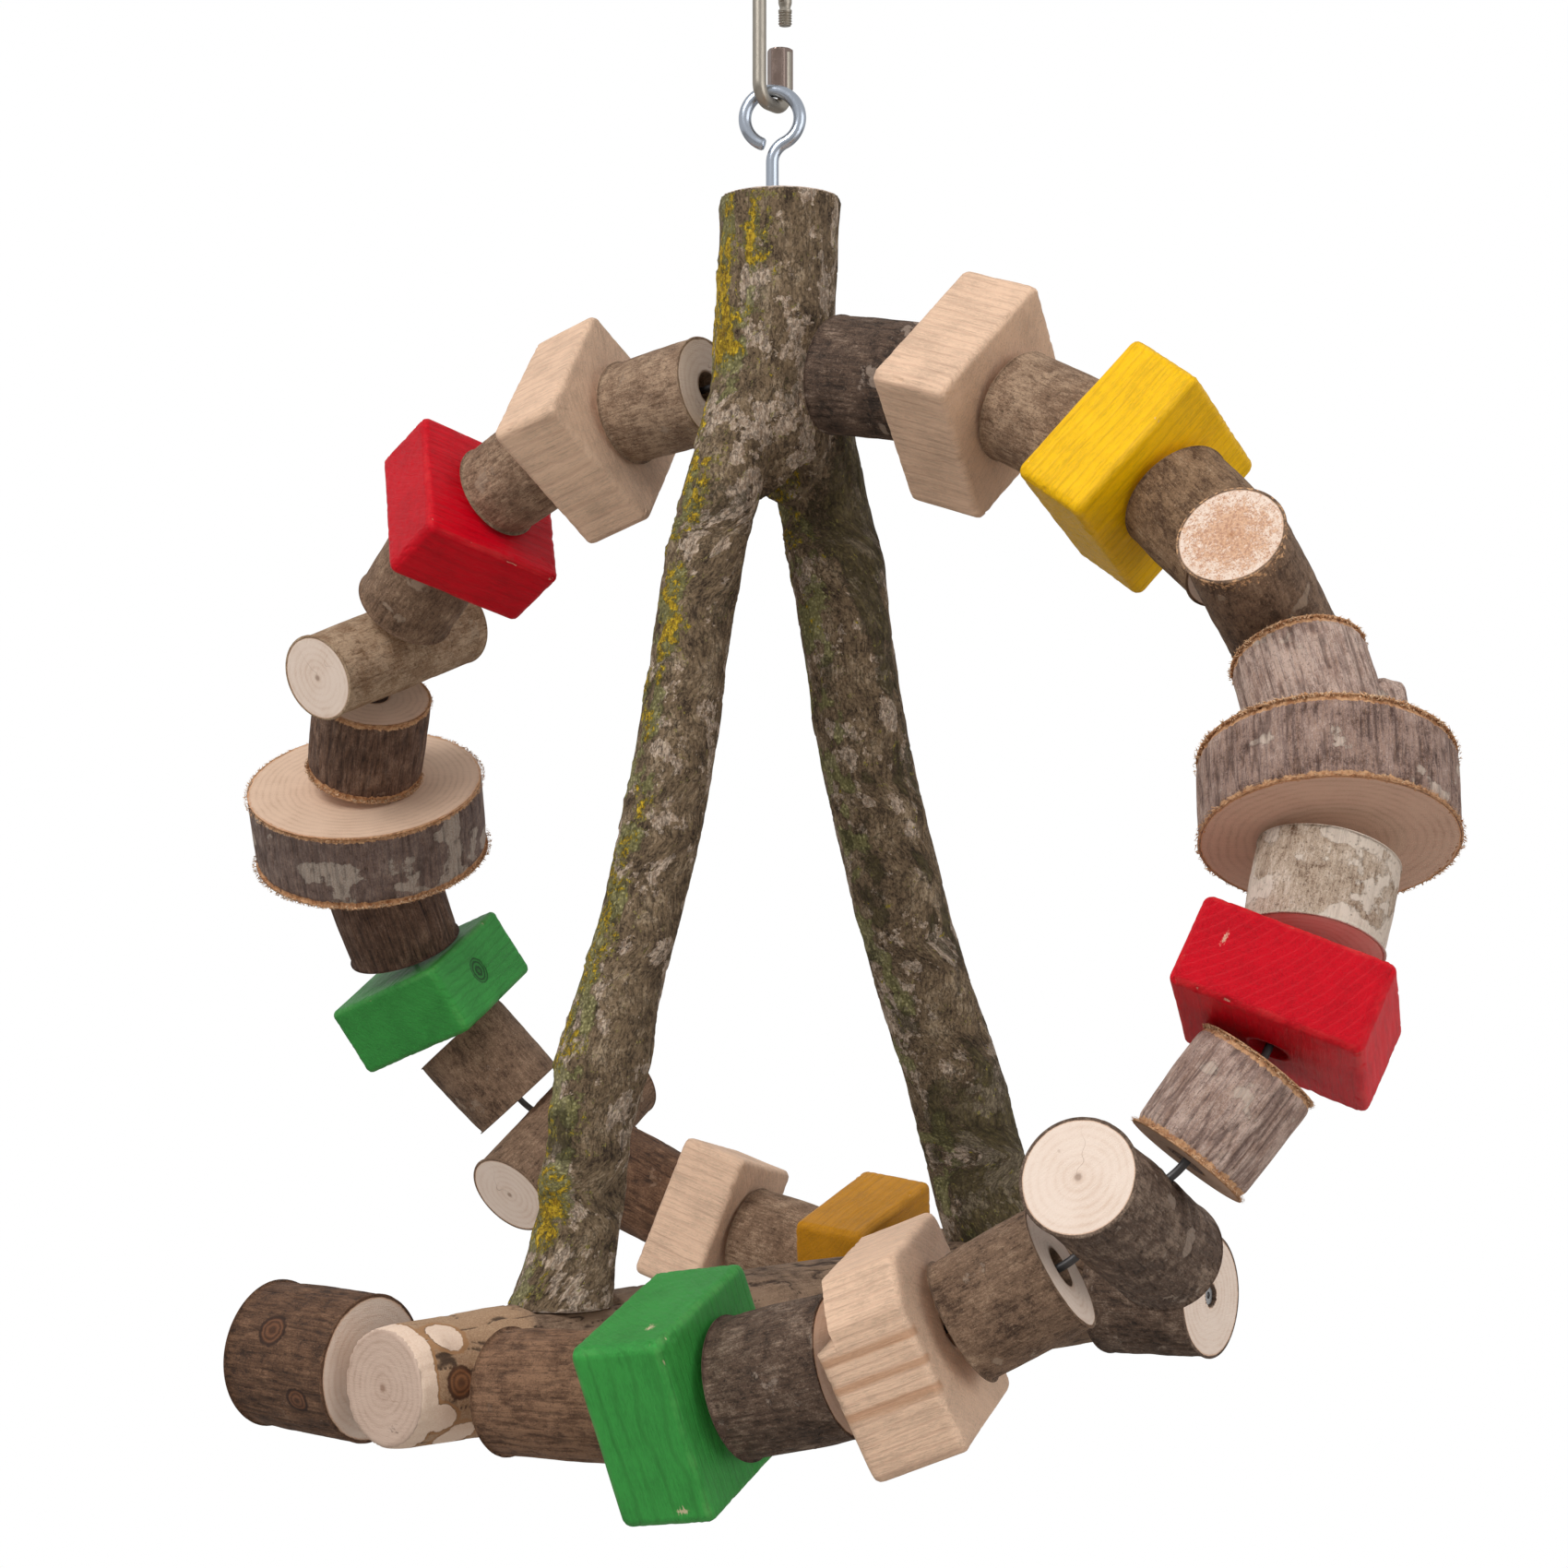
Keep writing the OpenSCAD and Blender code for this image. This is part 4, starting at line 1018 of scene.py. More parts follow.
def rings_of(node, form, half, radius):
    """The rings of a log of one form, about its own axis."""
    make_rings, rim, columns, rows, swell = FORMS[form]
    return make_rings(round_outline(radius, columns, SEEDS[node]), half, rim, swell, rows)


def bore_tool(place, levels, radii):
    """A round tool along the wire, with a radius at each level."""
    levels = np.array(levels)
    path = np.stack([0 * levels, 0 * levels, levels], 1)
    return grid_piece("bore", place.out(tube_grid(path, radii, TOOL_SIDES)))


def dress_log(piece, place, node, finish, radius, half, bark, axis=2):
    """Carves a log, adds torn fibres where its rims are frayed, and finishes it."""
    slot, look = BARKS[finish][:2]
    carve(piece, place, node, look, radius, half, axis)
    if node in FRAYED:
        splinters(node, place, radius, half, slot, bark["fibre"])
    seat(piece, node, slot, bark[finish], node)


def make_log(node, form, finish, turn, bark):
    """A bored slice of a branch, its bore flared to both faces."""
    place = place_of(node, turn)
    half, radius = sizes_of(node, place)
    grid = rings_of(node, form, half, radius)
    piece = grid_piece(node + "_wood", place.out(grid), wrap=True)
    dress_log(piece, place, node, finish, radius, half, bark)


def make_stub_log(node, form, finish, turn, bark):
    """The ridged log with the stub of a side shoot: the shoot is a short tube that swells into the
    log, and the two are joined."""
    place = place_of(node, turn)
    own = own_corners(node, place)
    half, radius, reach = np.abs(own[:, 2]).max(), -own[:, 0].min(), own[:, 0].max()
    grid = rings_of(node, form, half, radius)
    piece = grid_piece(node + "_wood", place.out(grid), wrap=True)
    lift = own[own[:, 0] > reach - 0.3][:, 2].mean()
    steps = np.linspace(radius * 0.6, reach, 26)
    path = np.stack([steps, 0 * steps, lift + 0 * steps], 1)
    wide = radius * 0.40 * (1 + 0.5 * ramp(radius * 1.25 - steps, 0, radius * 0.6))
    wide = np.minimum(wide, half - abs(lift) - 0.2)
    combine(piece, "UNION", grid_piece("shoot", place.out(tube_grid(path, wide, TOOL_SIDES))))
    dress_log(piece, place, node, finish, radius, half, bark)


def make_end_log(node, form, finish, turn, bark):
    """The log that closes an end: a snug bore for the wire and a pocket for the crimp."""
    place = place_of(node, turn)
    half, radius = sizes_of(node, place)
    piece = grid_piece(node + "_wood", place.out(rings_of(node, form, half, radius)))
    floor = half - POCKET_DEPTH
    levels = [half + OVERLONG, half, floor, floor - 0.05, -half - OVERLONG]
    radii = [POCKET_R, POCKET_R, POCKET_R, BORE_LAND, BORE_LAND]
    combine(piece, "DIFFERENCE", bore_tool(place, levels, radii))
    dress_log(piece, place, node, finish, radius, half, bark)


def make_cross_log(node, form, finish, turn, bark):
    """A log lying across the wire: rings about its own axis, then the wire's flared bore is cut."""
    place = place_of(node, turn)
    own = own_corners(node, place)
    half, radius = np.abs(own[:, 0]).max(), np.abs(own[:, 2]).max()
    grid = rings_of(node, form, half, radius)
    piece = grid_piece(node + "_wood", place.out(grid[:, :, [2, 0, 1]]))
    land = radius * 0.34
    levels = [-radius - OVERLONG, -radius, -land, land, radius, radius + OVERLONG]
    radii = [BORE_MOUTH, BORE_MOUTH, BORE_LAND, BORE_LAND, BORE_MOUTH, BORE_MOUTH]
    combine(piece, "DIFFERENCE", bore_tool(place, levels, radii))
    dress_log(piece, place, node, finish, radius, half, bark, axis=0)


# The planed block: its clipped corner, and its rebate's depth and width, as shares of its sizes,
# and the millimetres from one of its brown bands to the next
PLANED_SHARE, REBATE_DEPTH, REBATE_WIDTH = 0.2, 0.22, 0.3
BAND_PITCH = 8


def make_block(node, form, finish, turn, wood):
    """A square block with rounded edges and a flared bore; its flats sag a little and its edges are
    rubbed unevenly. The planed one has a clipped corner and a rebate along one side."""
    place = place_of(node, turn)
    own = own_corners(node, place)
    half, side = np.abs(own[:, 2]).max(), np.abs(own[:, 0]).max() * 2
    planed = form == "planed"
    clipped = side * PLANED_SHARE if planed else 0.0
    outline = square_outline(side, BLOCK_BEND, BLOCK_COLUMNS, clipped)
    grid = bored_grid(outline, half, BLOCK_RIM, lambda t: 0.0, BLOCK_ROWS)
    piece = grid_piece(node + "_wood", place.out(grid), wrap=True)
    if planed:
        low, wide = half * (1 - 2 * REBATE_DEPTH), side * (0.5 - REBATE_WIDTH)
        span = np.array([[x, y, low] for x, y in ((wide, -side), (side, -side), (side, side),
                                                  (wide, side))])
        rebate = grid_piece("rebate", place.out(np.array([span, span + [0, 0, side]])))
        combine(piece, "DIFFERENCE", rebate)
    carve_block(piece, place, node, side, half, finish == "beech", planed)
    seat(piece, node, finish + "_wood", wood[finish], node)


def carve_block(piece, place, node, side, half, grain_along_bore, planed):
    """Presses the flats in by a slow field and saw lines, and marks worn edges and end grain."""
    seed = SEEDS[node]
    own, facing = place.back(points_of(piece)), place.aim(normals_of(piece))
    spot = own + slack(seed)
    flatness = layers(spot, (16, 16, 16), seed, 2)
    saw_lines = (2.4, 2.4, 40.0) if grain_along_bore else (2.4, 40.0, 2.4)
    lines = creases(spot, saw_lines, seed + 3)
    inset = np.sort(np.array([side / 2, side / 2, half]) - np.abs(own), 1)
    edge = ramp(inset[:, 1], 4.0, 0.6) * ramp(inset[:, 0], 2.0, 0.2)
    figure = figure_of(node, own)
    knot = figure[:, 0]
    chip = ramp(layers(spot, (2.6, 2.6, 2.6), seed + 7), 0.70, 0.78) * edge
    press(piece, off_bore(own) * (0.35 * flatness + 0.16 * ramp(lines, 0.4, 1.0))
          + chip * 0.7 + figure[:, 2] * 0.3 + ramp(knot, 0.35, 0.5) * 0.25)
    end = ramp(np.abs(facing[:, 2 if grain_along_bore else 1]), 0.6, 0.95)
    if planed:
        figure[:, 1] = glue_lines(own)
    if knot.max() > 0.5:
        middle = FEATURES[node][0][1]
        bulge = np.sqrt(blob(own, middle, (12, 14, 9)))
        spot[:, 2] += 5 * np.sign(own[:, 2] - middle[2]) * bulge
    mark(piece, own=own, spot=spot, marks=(edge, end, chip), figure=figure)


def glue_lines(own):
    """Brown bands along the near side of the planed block: a cosine of the place across the bore,
    kept to the middle of that side."""
    wave = ramp(np.cos(own[:, 0] * 2 * np.pi / BAND_PITCH), 0.0, 0.7)
    return wave * ramp(13 - np.abs(own[:, 0]), 0, 2) * ramp(-own[:, 1], 20, 25)


# The fork and the perch

# The skin's cubes in millimetres, how it is smoothed, and what starts the random fields
SKIN_VOXEL, SKIN_SMOOTHING = 1.15, {"factor": 0.5, "iterations": 6}
FORK_SEED, PERCH_SEED = 7, 3

# The notch between the legs: the direction from foot to foot, the notch's depth to either side of
# it, and its outline along that direction and upwards
LEGS_WAY, NOTCH_DEPTH = (0.692, 0.721), 30
CROTCH = [(-15.5, -190), (13.5, -190), (3, -162.5), (0, -159), (-3, -162.5)]

# Knots and growths on the fork: middle in millimetres, reach, height or strength
FORK_KNOTS = [((-62, -62, -365), 9, 3.0), ((-66, -66, -385), 9, 3.5), ((-30, -45, -250), 12, 1.6),
              ((30, 20, -190), 16, 1.5), ((72, 62, -370), 12, 2.0), ((8, -18, -112), 14, 1.2)]
FORK_GOLD = [((-18, -18, -90), 16, 0.9), ((-20, -10, -125), 14, 0.8), ((-32, -36, -215), 8, 0.7),
             ((-54, -60, -300), 8, 0.7), ((-68, -72, -395), 12, 0.9)]
FORK_MOSS = [((28, 10, -150), 30, 0.7), ((20, 8, -180), 26, 0.6), ((84, 70, -400), 26, 0.8),
             ((70, 60, -370), 22, 0.6), ((-62, -62, -372), 10, 0.8)]

# Knots on the perch, then its peeled places and its eye in its own millimetres
PERCH_KNOTS = [((-93, -118, -424), 7, 2.2), ((-85, -108, -437), 6, 1.8), ((5, -18, -424), 9, 1.8)]
PERCH_BARE = [((-15, -11, -146), (9, 8, 8)), ((15, -10, -142), (9, 9, 9)),
              ((8, -17, -151), (8, 6, 7)), ((19, 6, -152), (8, 12, 6)),
              ((-8, 18, -150), (14, 8, 8))]
PERCH_EYE = (-2, -18, -146)


def copy_solid(node, tool=None):
    """A new skin round a copy of a CAD node's solid less the tool, with its facets smoothed
    away."""
    piece = link(node + "_wood", frame["nodes"][node].data.copy())
    alter(piece, "WELD", merge_threshold=1e-5)
    if tool:
        combine(piece, "DIFFERENCE", tool)
    alter(piece, "REMESH", mode="VOXEL", voxel_size=SKIN_VOXEL * MM)
    alter(piece, "SMOOTH", **SKIN_SMOOTHING)
    return piece


def follow_limbs(own):
    """Coordinates that run along the limbs: the middle of the limb at each height, measured on the
    CAD's points, is taken off, and the shift fades in from the crotch down."""
    solid = corners_of("fork_branch") / MM
    levels = np.linspace(solid[:, 2].min() + 2, -175, 24)
    out = own.copy()
    for way in (-1, 1):
        limb = solid[(solid[:, 0] + solid[:, 1]) * way > 0]
        middles = []
        for level in levels:
            near = limb[np.argsort(np.abs(limb[:, 2] - level))[:32]]
            middles.append((near[:, :2].min(0) + near[:, :2].max(0)) / 2)
        middles = np.array(middles)
        here = (own[:, 0] + own[:, 1]) * way > 0
        fade = ramp(-own[here, 2], 150, 215)
        for axis in (0, 1):
            out[here, axis] -= fade * np.interp(own[here, 2], levels, middles[:, axis])
    return out


def make_fork(bark):
    """The forked branch: the CAD's limbs under one skin, with furrows along the limbs, lumps, knots
    and the marks for lichen and moss, all of them fields of the place on the branch. The moss mark
    also darkens the right leg below the crotch as painted shade."""
    span = np.array([[s * LEGS_WAY[0], s * LEGS_WAY[1], z] for s, z in CROTCH])
    depth = np.array([LEGS_WAY[1], -LEGS_WAY[0], 0]) * NOTCH_DEPTH
    notch = grid_piece("notch", np.array([span - depth, span + depth]) * MM)
    piece = copy_solid("fork_branch", notch)
    own, facing = points_of(piece) / MM, normals_of(piece)
    low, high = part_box("fork_branch")
    top, foot = high[2] / MM, low[2] / MM
    seed = FORK_SEED
    spot = follow_limbs(own) + slack(seed)
    side = ramp(1 - np.abs(facing[:, 2]), 0.1, 0.4)
    furrow = ramp(creases(spot, (2.2, 2.2, 14.0), seed), 0.72, 1.0)
    lump = layers(spot, (11, 11, 15), seed + 3)
    ends = ramp(np.abs(facing[:, 2]), 0.8, 0.95) * (ramp(own[:, 2], top - 2, top - 0.8)
                                                   + ramp(-own[:, 2], -foot - 2, -foot - 0.8))
    pale = ramp(layers(spot, (9, 9, 13), seed + 21, 4), 0.44, 0.66)
    leftward = ramp(-facing[:, 0] - facing[:, 1] * 0.35, 0.25, 0.95)
    thin_side = ramp(own[:, 2], -300, -120) * 0.35 + 0.65
    cloudy = layers(spot, (8, 8, 14), seed + 33, 4)
    left_leg = ramp(-own[:, 0], -24, 4)
    gold = leftward * thin_side * left_leg * ramp(cloudy, 0.40, 0.58) * 1.2 + bumps(own, FORK_GOLD)
    tufts = ramp(gold, 0.4, 0.9) * layers(spot, (2.4, 2.4, 2.4), seed + 61, 2)
    # Painted shade: the right leg below the crotch is darkened by adding to the moss mark.
    right_leg_shade = ramp(own[:, 0], 12, 40) * ramp(-own[:, 2], 150, 190)
    moss_and_shade = (ramp(layers(spot, (10, 10, 18), seed + 41, 4), 0.52, 0.72) * 0.5
            + bumps(own, FORK_MOSS) + right_leg_shade * 0.3)
    crust = leftward * ramp(layers(spot, (7, 7, 9), seed + 51, 4), 0.45, 0.65)
    press(piece, side * (0.45 * furrow + 1.3 * (1 - lump) - 0.9 * tufts) - bumps(own, FORK_KNOTS))
    mark(piece, own=own, spot=spot, marks=(np.clip(ends, 0, 1), furrow * side, pale),
         growth=(gold, moss_and_shade, crust))
    seat(piece, SWING_BODY, "fork_bark", bark, "fork_branch")


def perch_place():
    """The perch's own frame: its Z axis runs along the perch from its thin end to its thick end."""
    points = corners_of("perch_bar")
    flat = points[:, :2] - points[:, :2].mean(0)
    way = np.linalg.svd(flat, full_matrices=False)[2][0]
    way = way * np.sign(way[0])
    low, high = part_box("perch_bar")
    return Place((0, 0, (low[2] + high[2]) / 2), (way[0], way[1], 0))


def make_perch(bark):
    """The perch: the CAD's bar under one skin, with furrows, knots and peeled places."""
    piece = copy_solid("perch_bar")
    place = perch_place()
    points = points_of(piece)
    own, facing_end = place.back(points), np.abs(place.aim(normals_of(piece))[:, 2])
    seed = PERCH_SEED
    spot = own + slack(seed)
    from_thin, from_thick = own[:, 2] - own[:, 2].min(), own[:, 2].max() - own[:, 2]
    side = ramp(1 - facing_end, 0.1, 0.4)
    furrow = ramp(creases(spot, (3.2, 3.2, 18.0), seed), 0.7, 0.98)
    lump = layers(spot, (14, 14, 22), seed + 3)
    press(piece, side * (0.35 * furrow + 1.0 * (1 - lump)) - bumps(points / MM, PERCH_KNOTS))
    sawn = ramp(facing_end, 0.7, 0.92) * ramp(np.minimum(from_thin, from_thick), 2.5, 0.8)
    bare = ramp(from_thin, 10, 4) * (0.5 + 0.4 * layers(spot, (11, 11, 9), seed + 5))
    for middle, reach in PERCH_BARE:
        bare = np.maximum(bare, 0.95 * blob(own, middle, reach))
    eye = blob(own, PERCH_EYE, (5, 5, 5))
    bare = bare - blob(own, PERCH_EYE, (5.5, 5.5, 5.5))
    tan = ramp(from_thin, 66, 30) * ramp(-own[:, 1], -14, 2)
    mark(piece, own=own, spot=spot, marks=(sawn, furrow * side, bare), figure=(eye, tan, 0 * eye))
    seat(piece, SWING_BODY, "perch_bark", bark, "perch_bar")


# Steel

# Millimetres: radii of the link's wire and of the spiral wire, then pitch and length of the
# threads on the eye's stem and on the link's arm
LINK_WIRE_R, WIRE_R = 2.25, 1.2
STEM_PITCH, STEM_THREAD, ARM_PITCH, ARM_THREAD = 1.6, 32, 0.9, 4.6


def circle_at(angle, radius):
    """Points on a circle about the origin."""
    return np.stack([np.cos(angle) * radius, np.sin(angle) * radius], 1)


def make_eye(metal):
    """The screw eye: a round wire carried along a ring with a gap at its lower left, a reverse bend
    and a stem whose thread is a fine wave of the radius."""
    points = corners_of("eye_screw") / MM
    foot, head = points[:, 2].min(), points[:, 2].max()
    flat = np.hypot(points[:, 0], points[:, 1])
    side = points[np.argmax(flat * (points[:, 0] > 0))]
    facing = np.array([side[0], side[1], 0]) / np.hypot(side[0], side[1])
    r = np.abs(points @ [-facing[1], facing[0], 0]).max()
    ring = flat.max() - r
    middle = head - r - ring
    neck = ring * 0.8
    lean = math.acos(neck / (ring + neck))
    loop = circle_at(np.radians(np.linspace(254, -math.degrees(lean), 100)), ring)
    heart = np.array([(ring + neck) * math.cos(lean), -(ring + neck) * math.sin(lean)])
    bend = heart + circle_at(np.pi - lean + np.linspace(0, lean, 20)[1:], neck)
    steps = np.linspace(bend[-1, 1] + middle, foot + 0.3, 190)[1:] - middle
    line = np.concatenate([loop, bend, np.stack([0 * steps, steps], 1)])
    path = line[:, :1] * facing + np.outer(line[:, 1] + middle, [0, 0, 1])
    wide = np.full(len(path), r)
    depth = path[:, 2] - foot
    stem = np.arange(len(path)) >= len(loop) + len(bend)
    thread = stem & (depth < STEM_THREAD)
    wide[thread] -= 0.3 + 0.22 * np.sin(depth[thread] * 2 * np.pi / STEM_PITCH)
    wide *= np.where(stem, np.clip(depth / 4.0, 0.15, 1), 1)
    wide[0], wide[1] = r * 0.75, r * 0.95
    piece = grid_piece("eye_screw_steel", tube_grid(path, wide, 24) * MM)
    seat(piece, SWING_BODY, "eye_zinc", metal, "eye_screw")


def make_link(metal):
    """The quick link: a round wire carried along a half ring, its straight sides and two rounded
    corners with a short straight land between them, with a thread on the open arm."""
    points = corners_of("quick_link") / MM
    low, high = points[:, 2].min(), points[:, 2].max()
    heading = math.atan2(points[:, 1][points[:, 0].argmax()], points[:, 0].max())
    across = np.array([math.cos(heading), math.sin(heading), 0])
    out = points @ across
    turn_r = out.max() - LINK_WIRE_R
    land = np.abs(out[points[:, 2] < low + 0.004]).max()
    corner_r = turn_r - land
    top, bottom = high - LINK_WIRE_R - turn_r, low + LINK_WIRE_R + corner_r
    heights = points[out > turn_r * 0.7][:, 2]
    stub_top, arm_low = heights[heights > bottom + 0.5].min(), heights[heights < top - 0.5].max()
    arm = np.linspace(arm_low, top, 110)[:-1]
    half, corner = np.linspace(0, np.pi, 40), np.linspace(0, np.pi / 2, 24)
    back = np.linspace(top, bottom, 30)[1:-1]
    stub = np.linspace(bottom, stub_top, 60)[1:]
    runs = ((turn_r + 0 * arm, arm),
            (turn_r * np.cos(half), top + turn_r * np.sin(half)),
            (0 * back - turn_r, back),
            (-land - corner_r * np.cos(corner), bottom - corner_r * np.sin(corner)),
            (land + corner_r * np.sin(corner), bottom - corner_r * np.cos(corner)),
            (turn_r + 0 * stub, stub))
    u, z = (np.concatenate(part) for part in zip(*runs))
    path = u[:, None] * across + np.stack([0 * z, 0 * z, z], 1)
    radius = np.full(len(path), LINK_WIRE_R)
    on_arm = np.arange(len(path)) < len(arm)
    threaded, drawn = on_arm & (z < arm_low + ARM_THREAD), on_arm & (z > arm_low + 5.2)
    radius[threaded] -= 0.2 + 0.2 * np.sin(z[threaded] * 2 * np.pi / ARM_PITCH)
    radius[drawn] -= 0.45 * ramp(top - z[drawn], 0, 2)
    radius[0] = radius[-1] = LINK_WIRE_R * 0.8
    piece = grid_piece("quick_link_steel", tube_grid(path, radius, 28) * MM)
    seat(piece, "link", "link_steel", metal, "quick_link")


def make_nut(metal):
    """The nut: a six-sided tube whose ends are cut off by a cone, so that each edge is lower than
    the flats between. The section is the least of the six-sided outline's reach and the cone's."""
    points = corners_of("link_nut") / MM
    low, high = points.min(0), points.max(0)
    middle = (low + high) / 2
    around = points - middle
    reach = np.hypot(around[:, 0], around[:, 1])
    corner = around[np.argmax(reach)]
    circle, hollow = reach.max(), reach.min() + 0.01
    flat, half = circle * math.cos(math.pi / 6), (high[2] - low[2]) / 2
    angle = np.arange(120) / 120 * 2 * np.pi
    from_flat = (angle - math.atan2(corner[1], corner[0])) % (np.pi / 3) - np.pi / 6
    outline = np.minimum(flat / np.cos(from_flat), circle - 0.12)
    steps = np.array([0, 0.15, 0.4, 0.8, 1.2, 1.6])
    levels = np.concatenate([steps - half, half - steps[::-1]])
    cone = flat - 0.25 + np.concatenate([steps, steps[::-1]]) * 1.7
    rows = [(hollow, half), (hollow, 0.0), (hollow, -half)]
    rows += [(np.minimum(outline, limit), z) for limit, z in zip(cone, levels)]
    rings = np.array([ring_at(circle_at(angle, r), z) for r, z in rows])
    piece = grid_piece("link_nut_steel", (rings + middle) * MM, wrap=True)
    turn_outward(piece)
    alter(piece, "EDGE_SPLIT", split_angle=math.radians(24))
    seat(piece, "nut", "nut_steel", metal, "link_nut")


def make_wire(metal):
    """The wire: one round tube from crimp to crimp, straight through each piece and bent smoothly
    from piece to piece, by a cubic through the ends of the pieces."""
    runs = {"left": [], "right": []}
    for node, *_ in PIECES:
        place = place_of(node)
        half, way = sizes_of(node, place)[0], place.axes[:, 2]
        reach = half - 1 if "end" in node else half
        runs[node.split("_")[0]] += [(place.middle / MM - way * half, way),
                                     (place.middle / MM + way * reach, way)]
    pairs = [(point, -way) for point, way in runs["left"][::-1]] + runs["right"]
    path = smooth_path(*zip(*pairs), 6)
    piece = grid_piece("spiral_wire_steel", tube_grid(path, WIRE_R, 14) * MM)
    seat(piece, SWING_BODY, "wire_steel", metal, "spiral_wire")


# Properties, operators and panel

COLOUR = {"subtype": "COLOR", "size": 3, "min": 0.0, "max": 1.0}


class SwingColours(bpy.types.PropertyGroup):
    """Colours that a user would change."""

    red: FloatVectorProperty(name="Red stain", description="Colour of the red blocks",
                             default=tint(222, 0, 30), **COLOUR)
    yellow: FloatVectorProperty(name="Yellow stain", description="Colour of the yellow block",
                                default=tint(255, 198, 0), **COLOUR)
    green: FloatVectorProperty(name="Green stain", description="Colour of the green blocks",
                               default=tint(64, 160, 72), **COLOUR)
    ochre: FloatVectorProperty(name="Ochre stain", description="Colour of the ochre block",
                               default=tint(206, 140, 16), **COLOUR)
    beech: FloatVectorProperty(name="Bare wood", description="Colour of the unstained blocks",
                               default=tint(233, 196, 166), **COLOUR)


class SwingStage(bpy.types.PropertyGroup):
    """Light of the stage."""

    sky: FloatProperty(name="Sky", description="Strength of the light from all round",
                       default=0.62, min=0.0, max=2.0)
    key: FloatProperty(name="Key lamp", description="Power of the large lamp at the front left",
                       default=19.0, min=0.0, max=100.0, unit="POWER")
    fill: FloatProperty(name="Fill lamp", description="Power of the lamp at the right",
                        default=6.0, min=0.0, max=100.0, unit="POWER")


def bark_materials():
    """The bark finishes by name, and the torn fibres' one."""
    barks = {"fibre": fibre_finish()}
    for name, (_, _, tones, ends, ridged, specks) in BARKS.items():
        tones, ends = ([tint(*tone) for tone in group] for group in (tones, ends))
        barks[name] = bark_finish(name, tones, ridged, specks, ends)
    return barks


def wood_materials():
    """The block finishes by name. The stained ones have their grain along the block's side, the
    bare one along its bore."""
    woods = {}
    for name in SwingColours.__annotations__:
        base = tuple(getattr(bpy.context.scene.swing_colours, name))
        stain = name != "beech"
        grain = (1.0, 0.05, 1.0) if stain else (1.0, 1.0, 0.05)
        woods[name] = block_finish(name, shade(base, 0.72 if stain else 0.7), base, grain, stain)
    return woods


class SWING_OT_steel(bpy.types.Operator):
    """Make the screw eye, the quick link, the wire and the finishes of the other metal parts"""

    bl_idname = "swing.steel"
    bl_label = "Steel parts"

    def execute(self, context):
        make_link(metal_finish("link steel", tint(172, 164, 152), 0.34))
        make_eye(metal_finish("eye zinc", tint(186, 194, 206), 0.22, dirt=0.12))
        make_nut(metal_finish("nut steel", tint(150, 132, 124), 0.3))
        make_wire(metal_finish("wire steel", tint(96, 94, 94), 0.45))
        bright = metal_finish("bright metal", tint(206, 208, 210), 0.28)
        for node in ("right_crimp", "left_crimp", "thin_foot_screw", "thick_foot_screw"):
            mesh = frame["nodes"][node].data
            mesh.materials.clear()
            mesh.materials.append(bright)
        return {"FINISHED"}


class SWING_OT_branches(bpy.types.Operator):
    """Make the forked branch and the perch"""

    bl_idname = "swing.branches"
    bl_label = "Fork and perch"

    def execute(self, context):
        make_fork(fork_finish())
        make_perch(perch_finish())
        return {"FINISHED"}


def make_pieces(makers, finishes):
    """Makes the threaded pieces whose form is among the makers."""
    for node, form, finish, turn in PIECES:
        if form in makers:
            makers[form](node, form, finish, turn, finishes)


class SWING_OT_logs(bpy.types.Operator):
    """Make the bored logs, the discs, the crossed logs and the end logs"""

    bl_idname = "swing.logs"
    bl_label = "Logs and discs"

    def execute(self, context):
        make_pieces({"log": make_log, "disc": make_log, "stub": make_stub_log,
                     "cross": make_cross_log, "end": make_end_log}, bark_materials())
        return {"FINISHED"}


class SWING_OT_blocks(bpy.types.Operator):
    """Make the square blocks, bare and stained"""

    bl_idname = "swing.blocks"
    bl_label = "Square blocks"

    def execute(self, context):
        make_pieces({"block": make_block, "planed": make_block}, wood_materials())
        return {"FINISHED"}


# The photograph's camera: place in millimetres, upward tilt in degrees, focal length and width of
# its sensor in millimetres
CAMERA_AT = (3.8, -1017.5, -291.3)
CAMERA_TILT, CAMERA_LENS, CAMERA_SENSOR = 1.6, 72.08, 36.0

# Lamps: name, place from the middle of the swing and side, in metres
LAMPS = (("key", (-0.8, -1.1, 1.25), 0.8), ("fill", (1.2, -0.9, 0.1), 1.2))

# Metres: how far the floor lies below the swing, and half its side
FLOOR_DROP, FLOOR_REACH = 0.25, 4


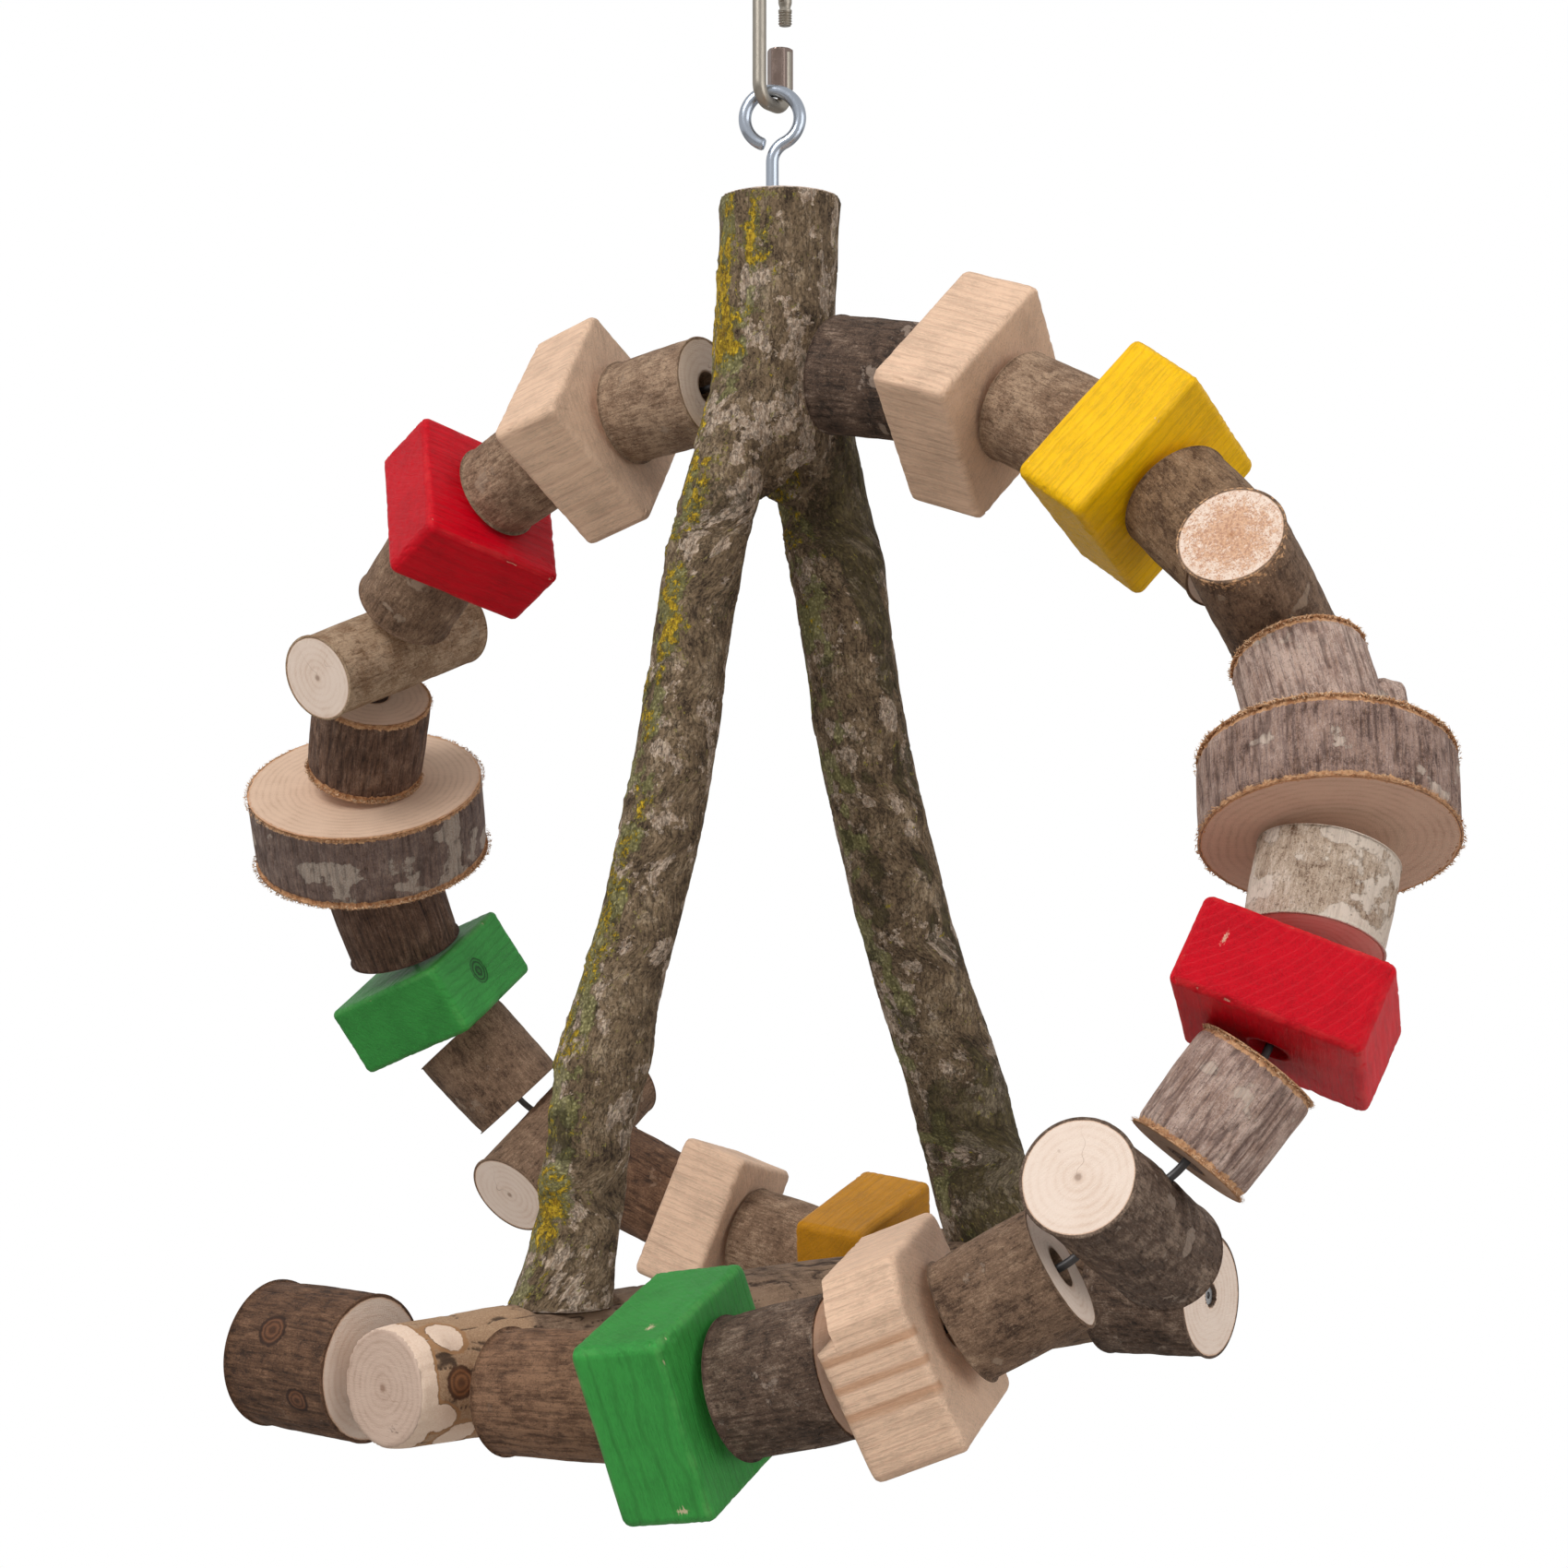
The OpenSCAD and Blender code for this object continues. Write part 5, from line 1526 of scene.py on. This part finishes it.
class SWING_OT_stage(bpy.types.Operator):
    """Make the camera, the lamps, the world and the floor"""

    bl_idname = "swing.stage"
    bl_label = "Stage"

    def execute(self, context):
        scene = context.scene
        data = bpy.data.cameras.new("camera")
        data.sensor_width, data.lens = CAMERA_SENSOR, CAMERA_LENS
        camera = self.put(scene, data, [c * MM for c in CAMERA_AT])
        camera.rotation_euler = (math.radians(90 + CAMERA_TILT), 0, 0)
        scene.camera = camera
        middle = Vector(np.mean(CAD_BOX, 0))
        for name, offset, side in LAMPS:
            data = bpy.data.lights.new(name, "AREA")
            data.energy, data.size = getattr(scene.swing_stage, name), side
            lamp = self.put(scene, data, middle + Vector(offset))
            lamp.rotation_euler = (lamp.location - middle).to_track_quat("Z", "Y").to_euler()
        self.world(scene, scene.swing_stage.sky)
        self.floor()
        scene.view_settings.view_transform = "Standard"
        return {"FINISHED"}

    def put(self, scene, data, place):
        """A new object for a camera or a lamp at its place."""
        thing = bpy.data.objects.new(data.name, data)
        scene.collection.objects.link(thing)
        thing.location = place
        return thing

    def world(self, scene, strength):
        """Even light from all round; the camera sees plain white."""
        world = bpy.data.worlds.new("sky")
        scene.world = world
        world.use_nodes = True
        tree = world.node_tree
        plain = tree.nodes["Background"]
        white = tree.nodes.new("ShaderNodeBackground")
        for light, power in ((plain, strength), (white, 1.0)):
            light.inputs["Color"].default_value = (1, 1, 1, 1)
            light.inputs["Strength"].default_value = power
        self.seen_as(tree, plain.outputs[0], white.outputs[0], "World Output")

    def floor(self):
        """A wide pale floor below the hanging swing, which the camera sees as white."""
        low, reach = CAD_BOX[0][2] - FLOOR_DROP, FLOOR_REACH
        corners = np.array([[-reach, -reach, low], [reach, -reach, low],
                            [reach, reach, low], [-reach, reach, low]], float)
        floor = piece_from("floor", corners, np.array([[0, 1, 2, 3]]))
        f = Finish("floor")
        f.colour = tint(176, 172, 168)
        f.close(0.9)
        white = f.node("Emission", Color=(1.0, 1.0, 1.0), Strength=1.0)
        self.seen_as(f.tree, f.shader.outputs[0], white.outputs[0], "Material Output")
        floor.data.materials.append(f.material)

    def seen_as(self, tree, plain, white, output):
        """Joins the shader that lights the swing to the one that the camera sees."""
        seen = tree.nodes.new("ShaderNodeLightPath")
        mix = tree.nodes.new("ShaderNodeMixShader")
        tree.links.new(seen.outputs["Is Camera Ray"], mix.inputs["Fac"])
        tree.links.new(plain, mix.inputs[1])
        tree.links.new(white, mix.inputs[2])
        tree.links.new(mix.outputs[0], tree.nodes[output].inputs["Surface"])


class SWING_PT_panel(bpy.types.Panel):
    """Lists the steps that build the swing"""

    bl_label = "Bird swing"
    bl_space_type = "VIEW_3D"
    bl_region_type = "UI"
    bl_category = "Swing"

    def draw(self, context):
        scene = context.scene
        for group in (scene.swing_colours, scene.swing_stage):
            for name in type(group).__annotations__:
                self.layout.prop(group, name)
        for step in STEPS:
            self.layout.operator(step.bl_idname)


STEPS = (SWING_OT_stage, SWING_OT_steel, SWING_OT_branches, SWING_OT_logs, SWING_OT_blocks)
CLASSES = (SwingColours, SwingStage, *STEPS, SWING_PT_panel)


def register():
    """Registers the classes and hangs the properties on the scene."""
    for cls in CLASSES:
        bpy.utils.register_class(cls)
    bpy.types.Scene.swing_colours = PointerProperty(type=SwingColours)
    bpy.types.Scene.swing_stage = PointerProperty(type=SwingStage)


def unregister():
    """Takes back what register did."""
    del bpy.types.Scene.swing_stage
    del bpy.types.Scene.swing_colours
    for cls in reversed(CLASSES):
        bpy.utils.unregister_class(cls)


def main():
    """Registers the add-on and runs its steps in order."""
    register()
    for step in STEPS:
        group, name = step.bl_idname.split(".")
        getattr(getattr(bpy.ops, group), name)()


if __name__ == "__main__":
    main()
